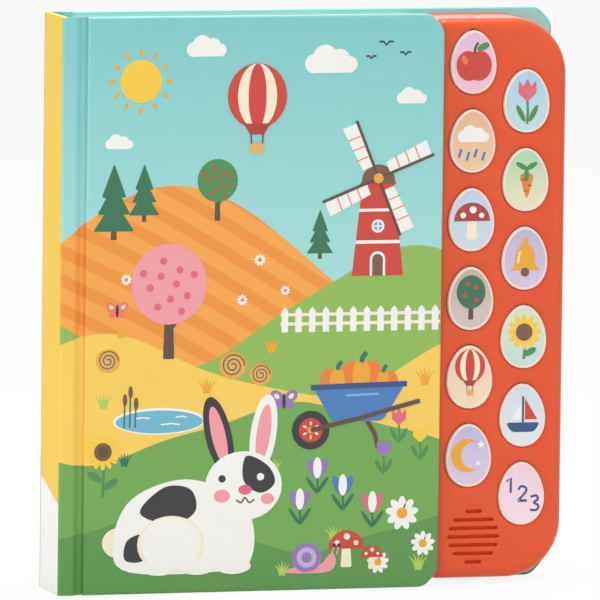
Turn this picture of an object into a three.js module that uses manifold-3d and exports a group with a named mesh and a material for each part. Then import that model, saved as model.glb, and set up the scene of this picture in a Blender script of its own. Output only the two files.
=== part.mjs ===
// Sound book: a cased board book that stands upright, with a moulded sound module along its fore-edge.
// Front is -Y, up is +Z, millimetres. Inside the book group X runs from the spine's outer face, Y is
// centred on the thickness and Z rises from the boards' bottom edges.
import * as THREE from "three";
import { mergeVertices } from "three/addons/utils/BufferGeometryUtils.js";
import Module from "manifold-3d";

const wasm = await Module();
wasm.setup();

// Book
const bookHeight = 260;
const bookThickness = 35;
const frontOverlap = 3.5; // front board past the module's left side
const backSquare = 0.5; // back board past the module's right side
const boardThickness = 3;
const boardEdge = 0.9; // rounding of the wrapped boards
const cornerCutAcross = 6.5;
const cornerCutUp = 7;
const spineThickness = 2.6;
const spineEdge = 1.2;
const jointReach = 12.5; // spine's outer face to each board's hinge edge
const ridgeWidth = 2.4;
const grooveDepth = 2;
const skinThickness = 0.8;
const hingeInset = 6.5;
const hingeGap = 0.4;
const seatGap = 0.3;

// Leaves
const leafCount = 12;
const leafSquare = 3; // how far the boards stand out past the leaves
const leafCorner = 6;
const leafSlit = 0.25;
const leafSlitDepth = 0.5;
const blockReach = 172.5;

// Sound module
const moduleGap = 1.5; // from the leaves' fore-edge
const moduleWidth = 63;
const moduleSquare = 2.8; // from the boards' top and bottom edges
const moduleSetback = 4.5; // face behind the front board's face
const moduleCorner = 26;
const faceEdge = 4.5; // rounding of the moulded face's edge
const moduleInnerCorner = faceEdge + 0.7;
const shellWall = 1.8;
const baseThickness = 1.7;

// Buttons
const buttonRows = 6;
const buttonWidth = 21.3;
const buttonHeight = 28.7;
const eggTaper = 0.13;
const firstRowDrop = 19.7;
const lastRowRise = 38.45;
const columnInset = 18.1;
const columnSpacing = 25.3;
const buttonProud = 1.8;
const buttonEdge = 1.1;
const buttonClearance = 0.35;
const flangeWidth = 1.3;
const flangeThickness = 1.2;
const stemRadius = 2.6;
const stemLength = 2.6;
const buttonTravel = 1.2;

// Keypad and circuit board
const domeRadius = 4;
const domeTopRadius = 2.9;
const domeHeight = 1.6;
const keypadThickness = 1;
const keypadMargin = 1.8; // keypad's edge past the domes
const circuitThickness = 1.6;
const circuitMargin = 2.2; // circuit board's edge past the keypad
const chipRadius = 5;
const chipHeight = 1.3;

// Speaker and grille
const speakerRadius = 13;
const speakerDepth = 4.8;
const speakerInset = 21.2; // grille's centre from the module's left side
const speakerRise = 19.1; // and from its bottom
const magnetRadius = 7.5;
const magnetThickness = 1.4;
const coneRadius = 11.2;
const coneThickness = 0.35;
const collarWall = 1.2;
const grilleRadius = 12.2;
const slotCount = 7;
const slotHeight = 1.5;
const slotPitch = 3.85;

// Batteries
const cellRadius = 5.8;
const cellThickness = 5.4;
const cellCount = 3;
const cellPitch = 12.9;
const pocketClearance = 0.3;
const batteryRise = 127.2; // door's centre above the module's bottom
const doorWidth = 17;
const doorLength = 56;
const doorThickness = 1.9;
const doorCorner = 2;
const boxFloor = 1;
const boxWall = 1.5;
const contactThickness = 0.3;
const contactWidth = 5;
const cellsDrop = 4.5; // cells' centre below the door's centre
const windowMargin = 1.2; // back board's window past the door

// Screws and wires
const bossRadius = 2.8;
const bossSide = 10.8; // boss centres beside the button columns
const screwRadius = 1.3;
const headRadius = 2.5;
const headHeight = 1.5;
const screwLength = 7;
const padRadius = 4;
const padDepth = 2;
const wireRadius = 0.6;

// Places worked out from the sizes above
const halfThickness = bookThickness / 2;
const frontInner = -halfThickness + boardThickness;
const backInner = halfThickness - boardThickness;
const moduleLeft = blockReach + moduleGap;
const moduleRight = moduleLeft + moduleWidth;
const frontReach = moduleLeft + frontOverlap; // spine's outer face to the board's fore-edge
const backReach = moduleRight + backSquare;
const moduleBottom = moduleSquare;
const moduleTop = bookHeight - moduleSquare;
const faceY = -halfThickness + moduleSetback;
const faceInner = faceY + shellWall;
const baseOuter = backInner - seatGap;
const baseInner = baseOuter - baseThickness;
const flangeFront = faceInner + seatGap;
const flangeBack = flangeFront + flangeThickness;
const stemEnd = flangeBack + stemLength;
const domeTop = stemEnd + buttonTravel + seatGap;
const keypadFront = domeTop + domeHeight;
const keypadBack = keypadFront + keypadThickness;
const circuitFront = keypadBack + seatGap;
const circuitBack = circuitFront + circuitThickness;
const doorInner = baseOuter - doorThickness;
const ledgeY = doorInner - seatGap;
const doorContactFront = ledgeY - contactThickness;
const cellBack = doorContactFront - seatGap;
const cellFront = cellBack - cellThickness;
const floorContactFront = cellFront - seatGap - contactThickness;
const boxInner = floorContactFront - seatGap;
const boxOuter = boxInner - boxFloor;
const columnX = [moduleLeft + columnInset, moduleLeft + columnInset + columnSpacing];
const rowPitch =
  (moduleTop - moduleBottom - firstRowDrop - lastRowRise) / (buttonRows - 0.5);
const rowZ = (column, row) => moduleTop - firstRowDrop - (row + column / 2) * rowPitch;
const speakerX = moduleLeft + speakerInset;
const speakerZ = moduleBottom + speakerRise;
const batteryX = (columnX[0] + columnX[1]) / 2;
const batteryZ = moduleBottom + batteryRise;
const cellZ = (i) => batteryZ - cellsDrop + ((cellCount - 1) / 2 - i) * cellPitch;
const doorScrewZ = batteryZ + doorLength / 2 - padRadius - 1.5;
const bossPlaces = [0, buttonRows - 2].flatMap((row) => [
  { x: columnX[0] - bossSide, z: rowZ(0, row + 0.5) },
  { x: columnX[1] + bossSide, z: rowZ(1, row + 0.5) },
]);

// Facets
const eggSteps = 24;
const roundSteps = 20;
const smallSteps = 12;

// Solids
function solid(geometry) {
  const bare = geometry.index ? geometry.toNonIndexed() : geometry.clone();
  bare.deleteAttribute("normal");
  bare.deleteAttribute("uv");
  const merged = mergeVertices(bare, 1e-4);
  return new wasm.Manifold(
    new wasm.Mesh({
      numProp: 3,
      vertProperties: merged.getAttribute("position").array,
      triVerts: new Uint32Array(merged.index.array),
    }),
  );
}

function join(...pieces) {
  return pieces.reduce((whole, piece) => whole.add(piece));
}

function cut(whole, ...tools) {
  return tools.reduce((rest, tool) => rest.subtract(tool), whole);
}

function geometryOf(made) {
  const mesh = made.getMesh();
  const places = new Float32Array(mesh.numVert * 3);
  for (let i = 0; i < mesh.numVert; i++)
    places.set(mesh.vertProperties.subarray(i * mesh.numProp, i * mesh.numProp + 3), i * 3);
  const indexed = new THREE.BufferGeometry();
  indexed.setAttribute("position", new THREE.BufferAttribute(places, 3));
  indexed.setIndex(new THREE.BufferAttribute(mesh.triVerts, 1));
  const faceted = indexed.toNonIndexed();
  faceted.computeVertexNormals();
  return faceted;
}

function block(x0, x1, y0, y1, z0, z1) {
  const geometry = new THREE.BoxGeometry(x1 - x0, y1 - y0, z1 - z0);
  geometry.translate((x0 + x1) / 2, (y0 + y1) / 2, (z0 + z1) / 2);
  return solid(geometry);
}

// A round bar along Y, from y0 back to y1.
function bar(x, z, y0, y1, frontRadius, backRadius = frontRadius, steps = smallSteps) {
  const geometry = new THREE.CylinderGeometry(backRadius, frontRadius, y1 - y0, steps);
  geometry.translate(x, (y0 + y1) / 2, z);
  return solid(geometry);
}

// A plate whose outline lies in X and Z, from yFront back to yBack, with both its edges rounded.
function plate(outline, yFront, yBack, edge = 0, edgeSteps = 2, curveSegments = 4) {
  const geometry = new THREE.ExtrudeGeometry(outline, {
    depth: yBack - yFront - 2 * edge,
    bevelEnabled: edge > 0,
    bevelThickness: edge,
    bevelSize: edge,
    bevelOffset: -edge,
    bevelSegments: edgeSteps,
    curveSegments,
  });
  geometry.rotateX(Math.PI / 2);
  geometry.translate(0, yBack - edge, 0);
  return solid(geometry);
}

// The same plate with only its front edge rounded.
function crownedPlate(outline, yFront, yBack, edge, edgeSteps, curveSegments) {
  const far = 2 * bookHeight;
  const beyond = block(-far, far, yBack, yBack + 3 * edge + 1, -far, far);
  return cut(plate(outline, yFront, yBack + edge + 0.5, edge, edgeSteps, curveSegments), beyond);
}

// A profile drawn in X and Y, carried up from z0 to z1.
function upright(profile, z0, z1) {
  const geometry = new THREE.ExtrudeGeometry(profile, {
    depth: z1 - z0,
    bevelEnabled: false,
    curveSegments: 4,
  });
  geometry.translate(0, 0, z0);
  return solid(geometry);
}

// A closed profile of radius and Y, turned about an axis along Y.
function turned(profile, x, z, steps = smallSteps) {
  const area = profile.reduce((sum, [r, y], i) => {
    const [nextR, nextY] = profile[(i + 1) % profile.length];
    return sum + r * nextY - nextR * y;
  }, 0);
  const points = profile.map(([r, y]) => new THREE.Vector2(r, y));
  if (area < 0) points.reverse();
  points.push(points[0].clone());
  const geometry = new THREE.LatheGeometry(points, steps);
  geometry.translate(x, 0, z);
  return solid(geometry);
}

// Outlines
function roundedRect(x0, x1, z0, z1, leftRadius, rightRadius) {
  const quarter = Math.PI / 2;
  const outline = new THREE.Shape();
  outline.moveTo(x0 + leftRadius, z0);
  outline.lineTo(x1 - rightRadius, z0);
  outline.absarc(x1 - rightRadius, z0 + rightRadius, rightRadius, -quarter, 0, false);
  outline.lineTo(x1, z1 - rightRadius);
  outline.absarc(x1 - rightRadius, z1 - rightRadius, rightRadius, 0, quarter, false);
  outline.lineTo(x0 + leftRadius, z1);
  if (leftRadius > 0)
    outline.absarc(x0 + leftRadius, z1 - leftRadius, leftRadius, quarter, 2 * quarter, false);
  outline.lineTo(x0, z0 + leftRadius);
  if (leftRadius > 0)
    outline.absarc(x0 + leftRadius, z0 + leftRadius, leftRadius, 2 * quarter, 3 * quarter, false);
  return outline;
}

// An egg with its narrow end up: an ellipse whose width tapers towards the top.
function egg(x, z, grow = 0) {
  const outline = new THREE.Shape();
  for (let i = 0; i < eggSteps; i++) {
    const turn = (2 * Math.PI * i) / eggSteps;
    const rise = Math.sin(turn);
    const across = (buttonWidth / 2 + grow) * Math.cos(turn) * (1 - eggTaper * rise);
    const up = (buttonHeight / 2 + grow) * rise;
    if (i === 0) outline.moveTo(x + across, z + up);
    else outline.lineTo(x + across, z + up);
  }
  outline.closePath();
  return outline;
}

// Covers
function boardOutline(reach) {
  const outline = new THREE.Shape();
  outline.moveTo(jointReach, 0);
  outline.lineTo(reach - cornerCutAcross, 0);
  outline.lineTo(reach, cornerCutUp);
  outline.lineTo(reach, bookHeight - cornerCutUp);
  outline.lineTo(reach - cornerCutAcross, bookHeight);
  outline.lineTo(jointReach, bookHeight);
  outline.closePath();
  return outline;
}

// Depth of the hinge groove below the cover face, at a distance x from the spine's outer face.
function grooveAt(x) {
  const share = THREE.MathUtils.clamp((x - ridgeWidth) / (jointReach - 2 - ridgeWidth), 0, 1);
  return grooveDepth * THREE.MathUtils.smoothstep(share, 0, 1);
}

// The folded cover skin between two distances from the spine, on the side that sign gives.
function hingeSkin(x0, x1, sign, steps = 5) {
  const outer = [];
  for (let i = 0; i <= steps; i++) {
    const x = x0 + ((x1 - x0) * i) / steps;
    outer.push([x, halfThickness - grooveAt(x)]);
  }
  const inner = outer.map(([x, y]) => [x, y - skinThickness]).reverse();
  const ring = [...outer, ...inner].map(([x, y]) => new THREE.Vector2(x, sign * y));
  return upright(new THREE.Shape(ring), 0, bookHeight);
}

function frontCover() {
  const board = plate(boardOutline(frontReach), -halfThickness, frontInner, boardEdge);
  return join(board, hingeSkin(hingeInset + hingeGap / 2, jointReach + boardEdge, -1));
}

function backCover() {
  const board = plate(boardOutline(backReach), backInner, halfThickness, boardEdge);
  const whole = join(board, hingeSkin(hingeInset + hingeGap / 2, jointReach + boardEdge, 1));
  const opening = doorOutline(windowMargin);
  return cut(whole, plate(opening, backInner - 1, halfThickness + 1));
}

function spine() {
  const profile = new THREE.Shape();
  const half = halfThickness;
  profile.moveTo(spineThickness, -half);
  profile.lineTo(spineThickness, half);
  profile.lineTo(spineEdge, half);
  profile.absarc(spineEdge, half - spineEdge, spineEdge, Math.PI / 2, Math.PI, false);
  profile.lineTo(0, -half + spineEdge);
  profile.absarc(spineEdge, -half + spineEdge, spineEdge, Math.PI, 1.5 * Math.PI, false);
  const skins = [-1, 1].map((sign) =>
    hingeSkin(spineEdge + 0.2, hingeInset - hingeGap / 2, sign),
  );
  return join(upright(profile, 0, bookHeight), ...skins);
}

// The leaves: one solid, with a slit between each leaf and the next.
function pageBlock() {
  const x0 = spineThickness + seatGap;
  const y0 = frontInner + seatGap;
  const y1 = backInner - seatGap;
  const z0 = leafSquare;
  const z1 = bookHeight - leafSquare;
  const core = block(
    x0,
    blockReach - leafSlitDepth,
    y0 + leafSlit,
    y1 - leafSlit,
    z0 + leafCorner,
    z1 - leafCorner,
  );
  const coreEnds = block(
    x0,
    blockReach - leafCorner,
    y0 + leafSlit,
    y1 - leafSlit,
    z0 + leafSlitDepth,
    z1 - leafSlitDepth,
  );
  const outline = roundedRect(x0, blockReach, z0, z1, 0, leafCorner);
  const pitch = (y1 - y0 + leafSlit) / leafCount;
  const leaves = Array.from({ length: leafCount }, (_, i) =>
    plate(outline, y0 + i * pitch, y0 + (i + 1) * pitch - leafSlit, 0, 1, 3),
  );
  return join(core, coreEnds, ...leaves);
}

// Sound module
function moduleOutline(inset) {
  return roundedRect(
    moduleLeft + inset,
    moduleRight - inset,
    moduleBottom + inset,
    moduleTop - inset,
    moduleInnerCorner - inset,
    moduleCorner - inset,
  );
}

function grilleSlots() {
  const slots = [];
  for (let i = 0; i < slotCount; i++) {
    const rise = (i - (slotCount - 1) / 2) * slotPitch;
    const half = Math.sqrt(grilleRadius ** 2 - rise ** 2);
    const z = speakerZ + rise;
    const end = slotHeight / 2;
    const outline = roundedRect(speakerX - half, speakerX + half, z - end, z + end, end, end);
    slots.push(plate(outline, faceY - 1, faceInner + 1, 0, 1, 3));
  }
  return slots;
}

function frontShell() {
  const outer = crownedPlate(moduleOutline(0), faceY, baseOuter, faceEdge, 4, 7);
  const inner = crownedPlate(
    moduleOutline(shellWall),
    faceInner,
    baseOuter + 1,
    faceEdge - shellWall,
    3,
    7,
  );
  const windows = buttonPlaces().map(({ x, z }) =>
    plate(egg(x, z, buttonClearance), faceY - 1, faceInner + 1),
  );
  const collarInner = speakerRadius + seatGap;
  const collar = cut(
    bar(speakerX, speakerZ, faceInner - 0.5, faceInner + speakerDepth, collarInner + collarWall,
      collarInner + collarWall, roundSteps),
    bar(speakerX, speakerZ, faceInner - 1, faceInner + speakerDepth + 1, collarInner,
      collarInner, roundSteps),
  );
  const bosses = bossPlaces.map(({ x, z }) =>
    cut(
      bar(x, z, faceInner - 0.5, padFront() - seatGap, bossRadius),
      bar(x, z, padFront() - screwLength, padFront() + 1, screwRadius + seatGap),
    ),
  );
  return join(cut(outer, inner, ...windows, ...grilleSlots()), collar, ...bosses);
}

// The rear plate's inner face at the thickened pads round its screws.
function padFront() {
  return baseInner - padDepth;
}

function doorOutline(grow) {
  return roundedRect(
    batteryX - doorWidth / 2 - grow,
    batteryX + doorWidth / 2 + grow,
    batteryZ - doorLength / 2 - grow,
    batteryZ + doorLength / 2 + grow,
    doorCorner + grow,
    doorCorner + grow,
  );
}

function moduleBase() {
  const sheet = plate(moduleOutline(shellWall + seatGap), baseInner, baseOuter, 0, 1, 7);
  const pads = bossPlaces.map(({ x, z }) => bar(x, z, padFront(), baseInner + 0.5, padRadius));
  const box = plate(doorOutline(boxWall), boxOuter, baseInner + 0.5);
  const doorWell = plate(doorOutline(seatGap), ledgeY, baseOuter + 1);
  const pocketRadius = cellRadius + pocketClearance;
  const pockets = Array.from({ length: cellCount }, (_, i) =>
    bar(batteryX, cellZ(i), boxInner, ledgeY + 0.5, pocketRadius, pocketRadius, roundSteps),
  );
  const channel = block(
    batteryX - contactWidth / 2 - seatGap,
    batteryX + contactWidth / 2 + seatGap,
    boxInner,
    ledgeY + 0.5,
    cellZ(cellCount - 1),
    cellZ(0),
  );
  const pilot = bar(
    batteryX,
    doorScrewZ,
    baseOuter - screwLength,
    ledgeY + 0.5,
    screwRadius + seatGap,
  );
  const screwHoles = bossPlaces.flatMap(({ x, z }) => [
    bar(x, z, padFront() - 1, baseOuter + 1, screwRadius + seatGap),
    bar(x, z, baseOuter - headHeight - seatGap, baseOuter + 1, headRadius + seatGap),
  ]);
  return cut(join(sheet, ...pads, box), doorWell, ...pockets, channel, pilot, ...screwHoles);
}

function batteryDoor() {
  return cut(
    plate(doorOutline(0), doorInner, baseOuter, 0.4, 1),
    bar(batteryX, doorScrewZ, doorInner - 1, baseOuter + 1, screwRadius + seatGap),
    bar(batteryX, doorScrewZ, baseOuter - headHeight / 2, baseOuter + 1, headRadius + seatGap),
  );
}

// A pan-head screw driven in from the back, its head's outer face at yHead.
function screw(x, z, yHead, head) {
  const tip = yHead - screwLength + 1;
  return turned(
    [
      [0, tip],
      [screwRadius * 0.5, tip],
      [screwRadius, tip + 1.2],
      [screwRadius, yHead - head],
      [headRadius, yHead - head],
      [headRadius, yHead - 0.5],
      [headRadius - 0.6, yHead],
      [0, yHead],
    ],
    x,
    z,
  );
}

function buttonPlaces() {
  const places = [];
  for (const column of [0, 1])
    for (let row = 0; row < buttonRows; row++)
      places.push({ x: columnX[column], z: rowZ(column, row) });
  return places;
}

function button({ x, z }) {
  return join(
    crownedPlate(egg(x, z), faceY - buttonProud, flangeFront + 0.5, buttonEdge, 2),
    plate(egg(x, z, flangeWidth), flangeFront, flangeBack),
    bar(x, z, flangeBack - 0.5, stemEnd, stemRadius),
  );
}

function domeBox(margin) {
  return {
    x0: columnX[0] - domeRadius - margin,
    x1: columnX[1] + domeRadius + margin,
    z0: rowZ(1, buttonRows - 1) - domeRadius - margin,
    z1: rowZ(0, 0) + domeRadius + margin,
  };
}

function keypad() {
  const { x0, x1, z0, z1 } = domeBox(keypadMargin);
  const mat = plate(roundedRect(x0, x1, z0, z1, 3, 3), keypadFront, keypadBack);
  const domes = buttonPlaces().map(({ x, z }) =>
    bar(x, z, domeTop, keypadFront + 0.5, domeTopRadius, domeRadius),
  );
  const holes = bossPlaces.map(({ x, z }) =>
    bar(x, z, keypadFront - 1, keypadBack + 1, bossRadius + 0.5),
  );
  return cut(join(mat, ...domes), ...holes);
}

function circuitBoard() {
  const { x0, x1, z0, z1 } = domeBox(keypadMargin + circuitMargin);
  const sheet = plate(roundedRect(x0, x1, z0, z1, 1, 1), circuitFront, circuitBack);
  const holes = bossPlaces.map(({ x, z }) =>
    bar(x, z, circuitFront - 1, circuitBack + 1, bossRadius + 0.5),
  );
  return cut(sheet, ...holes);
}

function chip() {
  const foot = circuitBack + seatGap;
  return turned(
    [
      [0, foot],
      [chipRadius, foot],
      [chipRadius * 0.86, foot + chipHeight * 0.6],
      [chipRadius * 0.5, foot + chipHeight * 0.92],
      [0, foot + chipHeight],
    ],
    chipPlace.x,
    chipPlace.z,
    roundSteps,
  );
}

function speakerFrame() {
  const front = faceInner + seatGap;
  const back = front + speakerDepth - 0.3;
  return turned(
    [
      [coneRadius + seatGap, front],
      [speakerRadius, front],
      [speakerRadius, front + 1.2],
      [magnetRadius + 1.5, back - 0.6],
      [magnetRadius + 1.5, back],
      [magnetRadius - 3, back],
      [magnetRadius - 3, back - 1],
      [magnetRadius + 0.6, back - 1.2],
      [coneRadius + seatGap, front + 0.8],
    ],
    speakerX,
    speakerZ,
    roundSteps,
  );
}

function speakerCone() {
  const rim = faceInner + seatGap + coneThickness;
  const deep = rim + 1.6;
  const capRadius = 3.4;
  return turned(
    [
      [0, deep - 0.9],
      [capRadius, deep],
      [coneRadius, rim],
      [coneRadius, rim + coneThickness],
      [capRadius, deep + coneThickness],
      [0, deep - 0.9 + coneThickness],
    ],
    speakerX,
    speakerZ,
    roundSteps,
  );
}

function speakerMagnet() {
  const front = faceInner + speakerDepth + seatGap;
  return bar(speakerX, speakerZ, front, front + magnetThickness, magnetRadius, magnetRadius,
    roundSteps);
}

function buttonCell(i) {
  const step = 0.8;
  return join(
    bar(batteryX, cellZ(i), cellFront, cellFront + step + 0.2, cellRadius - 0.8,
      cellRadius - 0.8, roundSteps),
    bar(batteryX, cellZ(i), cellFront + step, cellBack, cellRadius, cellRadius, roundSteps),
  );
}

// A sprung contact plate on the given face, from one cell's centre to another's.
function contactPlate(yFront, zLow, zHigh) {
  return block(
    batteryX - contactWidth / 2,
    batteryX + contactWidth / 2,
    yFront,
    yFront + contactThickness,
    zLow,
    zHigh,
  );
}

// Wires
function wire(points) {
  const section = new THREE.Shape();
  section.absarc(0, 0, wireRadius, 0, 2 * Math.PI, false);
  const path = new THREE.CatmullRomCurve3(points.map((p) => new THREE.Vector3(...p)));
  return solid(
    new THREE.ExtrudeGeometry(section, {
      steps: 4 * (points.length - 1),
      curveSegments: 4,
      extrudePath: path,
      bevelEnabled: false,
    }),
  );
}

const circuitBottom = domeBox(keypadMargin + circuitMargin).z0;
const solder = circuitBack + seatGap + wireRadius;
const chipPlace = { x: columnX[1] - 2, z: batteryZ - doorLength / 2 - 22 };

// From the speaker's back, under the circuit board's lower edge and up its back.
function speakerWire(side) {
  const x = speakerX + side * 10.5;
  return wire([
    [x, faceInner + speakerDepth + 1.2, speakerZ - 2],
    [x + side, circuitFront, speakerZ - 4],
    [x + side * 2, solder + 1.6, speakerZ + 2],
    [x + side, solder + 0.6, circuitBottom + 1],
    [x, solder, circuitBottom + 8],
  ]);
}

// From the battery box's lower wall down the circuit board's back.
function batteryWire(side) {
  const top = batteryZ - doorLength / 2 - boxWall - seatGap;
  const x = batteryX + side * 4;
  return wire([
    [x, boxInner + 1.5, top],
    [x + side * 0.6, boxInner, top - 4],
    [x + side * 1.2, solder + 0.5, top - 9],
    [x + side * 0.6, solder, top - 14],
  ]);
}

// The book
const finishes = {
  cover_teal: { color: 0x8fd0cc, roughness: 0.3, metalness: 0 },
  spine_yellow: { color: 0xf4d660, roughness: 0.32, metalness: 0 },
  page_card: { color: 0xf3efe4, roughness: 0.7, metalness: 0 },
  shell_orange: { color: 0xdf5a32, roughness: 0.35, metalness: 0 },
  key_cream: { color: 0xece2d2, roughness: 0.35, metalness: 0 },
  rubber_grey: { color: 0xb9bcbd, roughness: 0.8, metalness: 0 },
  circuit_green: { color: 0x2f6b3c, roughness: 0.45, metalness: 0.1 },
  resin_black: { color: 0x141414, roughness: 0.3, metalness: 0 },
  steel: { color: 0xb7b9bb, roughness: 0.3, metalness: 1 },
  magnet_grey: { color: 0x5b5d60, roughness: 0.45, metalness: 0.8 },
  cone_paper: { color: 0x26262a, roughness: 0.85, metalness: 0 },
  wire_red: { color: 0xb3261e, roughness: 0.5, metalness: 0 },
  wire_black: { color: 0x1b1b1b, roughness: 0.5, metalness: 0 },
};

const book = new THREE.Group();
book.position.x = -backReach / 2;

function place(name, finish, made, group = book) {
  const mesh = new THREE.Mesh(geometryOf(made), new THREE.MeshStandardMaterial(finishes[finish]));
  mesh.name = name;
  group.add(mesh);
}

place("front_cover", "cover_teal", frontCover());
place("back_cover", "cover_teal", backCover());
place("spine", "spine_yellow", spine());
place("page_block", "page_card", pageBlock());

const soundModule = new THREE.Group();
book.add(soundModule);
place("module_front_shell", "shell_orange", frontShell(), soundModule);
place("module_rear_plate", "shell_orange", moduleBase(), soundModule);
buttonPlaces().forEach((spot, i) =>
  place(`button_${i + 1}`, "key_cream", button(spot), soundModule),
);
place("rubber_keypad", "rubber_grey", keypad(), soundModule);
place("circuit_board", "circuit_green", circuitBoard(), soundModule);
place("sound_chip", "resin_black", chip(), soundModule);
place("speaker_frame", "steel", speakerFrame(), soundModule);
place("speaker_cone", "cone_paper", speakerCone(), soundModule);
place("speaker_magnet", "magnet_grey", speakerMagnet(), soundModule);
for (let i = 0; i < cellCount; i++)
  place(`button_cell_${i + 1}`, "steel", buttonCell(i), soundModule);
const contactEnd = cellRadius * 0.7;
place("battery_contact_end", "steel",
  contactPlate(floorContactFront, cellZ(0) - contactEnd, cellZ(0) + contactEnd), soundModule);
place("battery_contact_link", "steel",
  contactPlate(floorContactFront, cellZ(2) - contactEnd, cellZ(1) + contactEnd), soundModule);
place("door_contact_link", "steel",
  contactPlate(doorContactFront, cellZ(1) - contactEnd, cellZ(0) + contactEnd), soundModule);
place("battery_door", "shell_orange", batteryDoor(), soundModule);
place("battery_door_screw", "steel",
  screw(batteryX, doorScrewZ, baseOuter - 0.1, headHeight / 2 - seatGap), soundModule);
bossPlaces.forEach(({ x, z }, i) =>
  place(`case_screw_${i + 1}`, "steel", screw(x, z, baseOuter - 0.1, headHeight - 0.1),
    soundModule),
);
place("speaker_wire_1", "wire_red", speakerWire(-1), soundModule);
place("speaker_wire_2", "wire_black", speakerWire(1), soundModule);
place("battery_wire_1", "wire_red", batteryWire(-1), soundModule);
place("battery_wire_2", "wire_black", batteryWire(1), soundModule);

const part = new THREE.Group();
part.add(book);

export default part;
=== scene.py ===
import math

import bmesh
import bpy
from mathutils import Matrix, Vector
from mathutils.geometry import tessellate_polygon


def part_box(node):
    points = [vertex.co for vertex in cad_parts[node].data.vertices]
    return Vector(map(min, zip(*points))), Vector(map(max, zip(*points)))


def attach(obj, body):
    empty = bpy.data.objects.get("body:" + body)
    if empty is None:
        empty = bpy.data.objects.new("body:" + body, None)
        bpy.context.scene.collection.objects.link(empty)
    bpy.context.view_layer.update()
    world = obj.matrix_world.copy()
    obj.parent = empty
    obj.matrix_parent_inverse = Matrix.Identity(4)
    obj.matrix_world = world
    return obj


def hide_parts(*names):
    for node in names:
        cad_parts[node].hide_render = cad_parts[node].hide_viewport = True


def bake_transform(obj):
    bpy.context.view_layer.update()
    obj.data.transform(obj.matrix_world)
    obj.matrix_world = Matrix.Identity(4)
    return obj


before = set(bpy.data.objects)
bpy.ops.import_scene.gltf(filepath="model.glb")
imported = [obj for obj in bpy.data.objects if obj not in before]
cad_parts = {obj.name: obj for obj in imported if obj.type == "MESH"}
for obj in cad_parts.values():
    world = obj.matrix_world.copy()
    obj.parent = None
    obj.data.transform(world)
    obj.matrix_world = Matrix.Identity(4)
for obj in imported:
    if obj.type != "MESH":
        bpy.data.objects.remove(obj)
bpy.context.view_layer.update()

# A closed children's sound book: wrapped boards with hinge grooves, and a moulded panel of twelve
# egg-shaped keys over a speaker grille. Sizes are millimetres in the row frame; meshes are metres.
MM = 0.001


def box_mm(node):
    low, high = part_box(node)
    return [v / MM for v in low], [v / MM for v in high]


def middle_of(node):
    """The middle of a node's box as seen from the front: across and up."""
    low, high = box_mm(node)
    return (low[0] + high[0]) / 2, (low[2] + high[2]) / 2


FRONT_LOW, FRONT_HIGH = box_mm("front_cover")
BACK_HIGH = box_mm("back_cover")[1]
PAGES_LOW, PAGES_HIGH = box_mm("page_block")
SHELL_LOW, SHELL_HIGH = box_mm("module_front_shell")
DOOR_LOW, DOOR_HIGH = box_mm("battery_door")
SPEAKER_LOW, SPEAKER_HIGH = box_mm("speaker_frame")
SPEAKER_X, SPEAKER_Z = middle_of("speaker_frame")

SPINE_X = box_mm("spine")[0][0]
TOP_Z = FRONT_HIGH[2]
FRONT_Y = FRONT_LOW[1]
BACK_Y = BACK_HIGH[1]

# Boards, spine and the wrap's hinges, measured from the spine's outer face
BOARD = 3.0
BOARD_EDGE = 1.3
CORNER_ACROSS = 6.5
CORNER_UP = 7.0
CORNER_SOFTNESS = 3.0
JOINT_REACH = 11.4
GROOVE_START = 5.6
GROOVE_END = 9.8
GROOVE_DEPTH = 2.1
RIDGE_FALL = 0.5
RIDGE_CREST = 6.0
SKIN = 0.8
SKIN_STEPS = 30
SKIN_BENDS = 6
SKIN_LEVELS = (0.15, 0.5, TOP_Z - 0.5, TOP_Z - 0.15)
SPINE_THICK = 2.6
SPINE_EDGE = 1.3
SPINE_CORNER = 0.9
SPINE_LAP = 0.2
SPINE_END_EDGE = 0.5

# Panel shell, grille and bosses
FACE_EDGE = 4.5
SHELL_CORNER = 26.0
SHELL_INNER_CORNER = 5.2
SHELL_WALL = 1.8
WINDOW_RIM = 0.5
GRILLE_RADIUS = 12.2
SLOT_COUNT = 7
SLOT_HEIGHT = 1.5
SLOT_PITCH = 3.85
SLOT_RIM = 0.35
COLLAR_WALL = 1.2
BOSS_COUNT = 4
BOSS_RADIUS = 2.8
BOSS_BORE = 1.6
BOSS_REACH = 1
CLOTH_FRONT = 0.02
CLOTH_BACK = 0.24
CLOTH_MARGIN = 0.5
SEAT_GAP = 0.3
OVERLAP = 0.3  # how far a joined form reaches into the one that carries it

# Keys
KEY_COUNT = 12
KEY_WIDTH = 21.3
KEY_HEIGHT = 28.7
KEY_TAPER = 0.13
KEY_CLEARANCE = 0.35
KEY_EDGE = 0.75
KEY_EDGE_STEPS = 6
KEY_LIP = ((-1.0, 0.08), (-0.85, 0))  # margin past the outline, and depth under the key's face
LABEL_MARGINS = (-1.5, -1.1)
LABEL_DROP = 0.2
ICON_SCALE = 1.36
FLANGE = 1.3
FLANGE_THICK = 1.2
STEM_RADIUS = 2.6

# Battery door, its window and its screw
WINDOW_MARGIN = 1.2
WINDOW_CORNER = 3.2
DOOR_CORNER = 2.0
DOOR_EDGE = 0.4
DOOR_HOLE = 2.9
RIB_COUNT = 6
RIB_RISE = 8
RIB_PITCH = 3
RIB_HALF_LENGTH = 5
RIB_HALF_HEIGHT = 0.7
RIB_PROUD = 0.7
RIB_CORNER = 0.65
RIB_EDGE = 0.35
HEAD_RIM = ((2.5, 0.9), (2.5, 0.35), (2.3, 0.12), (2.0, 0))  # radius, and depth under the head's face
SHANK_RADIUS = 1.3
SHANK_DROP = 0.8
CROSS_ARM = 1.5
CROSS_HALF = 0.38
CROSS_DEPTH = 0.5

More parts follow.
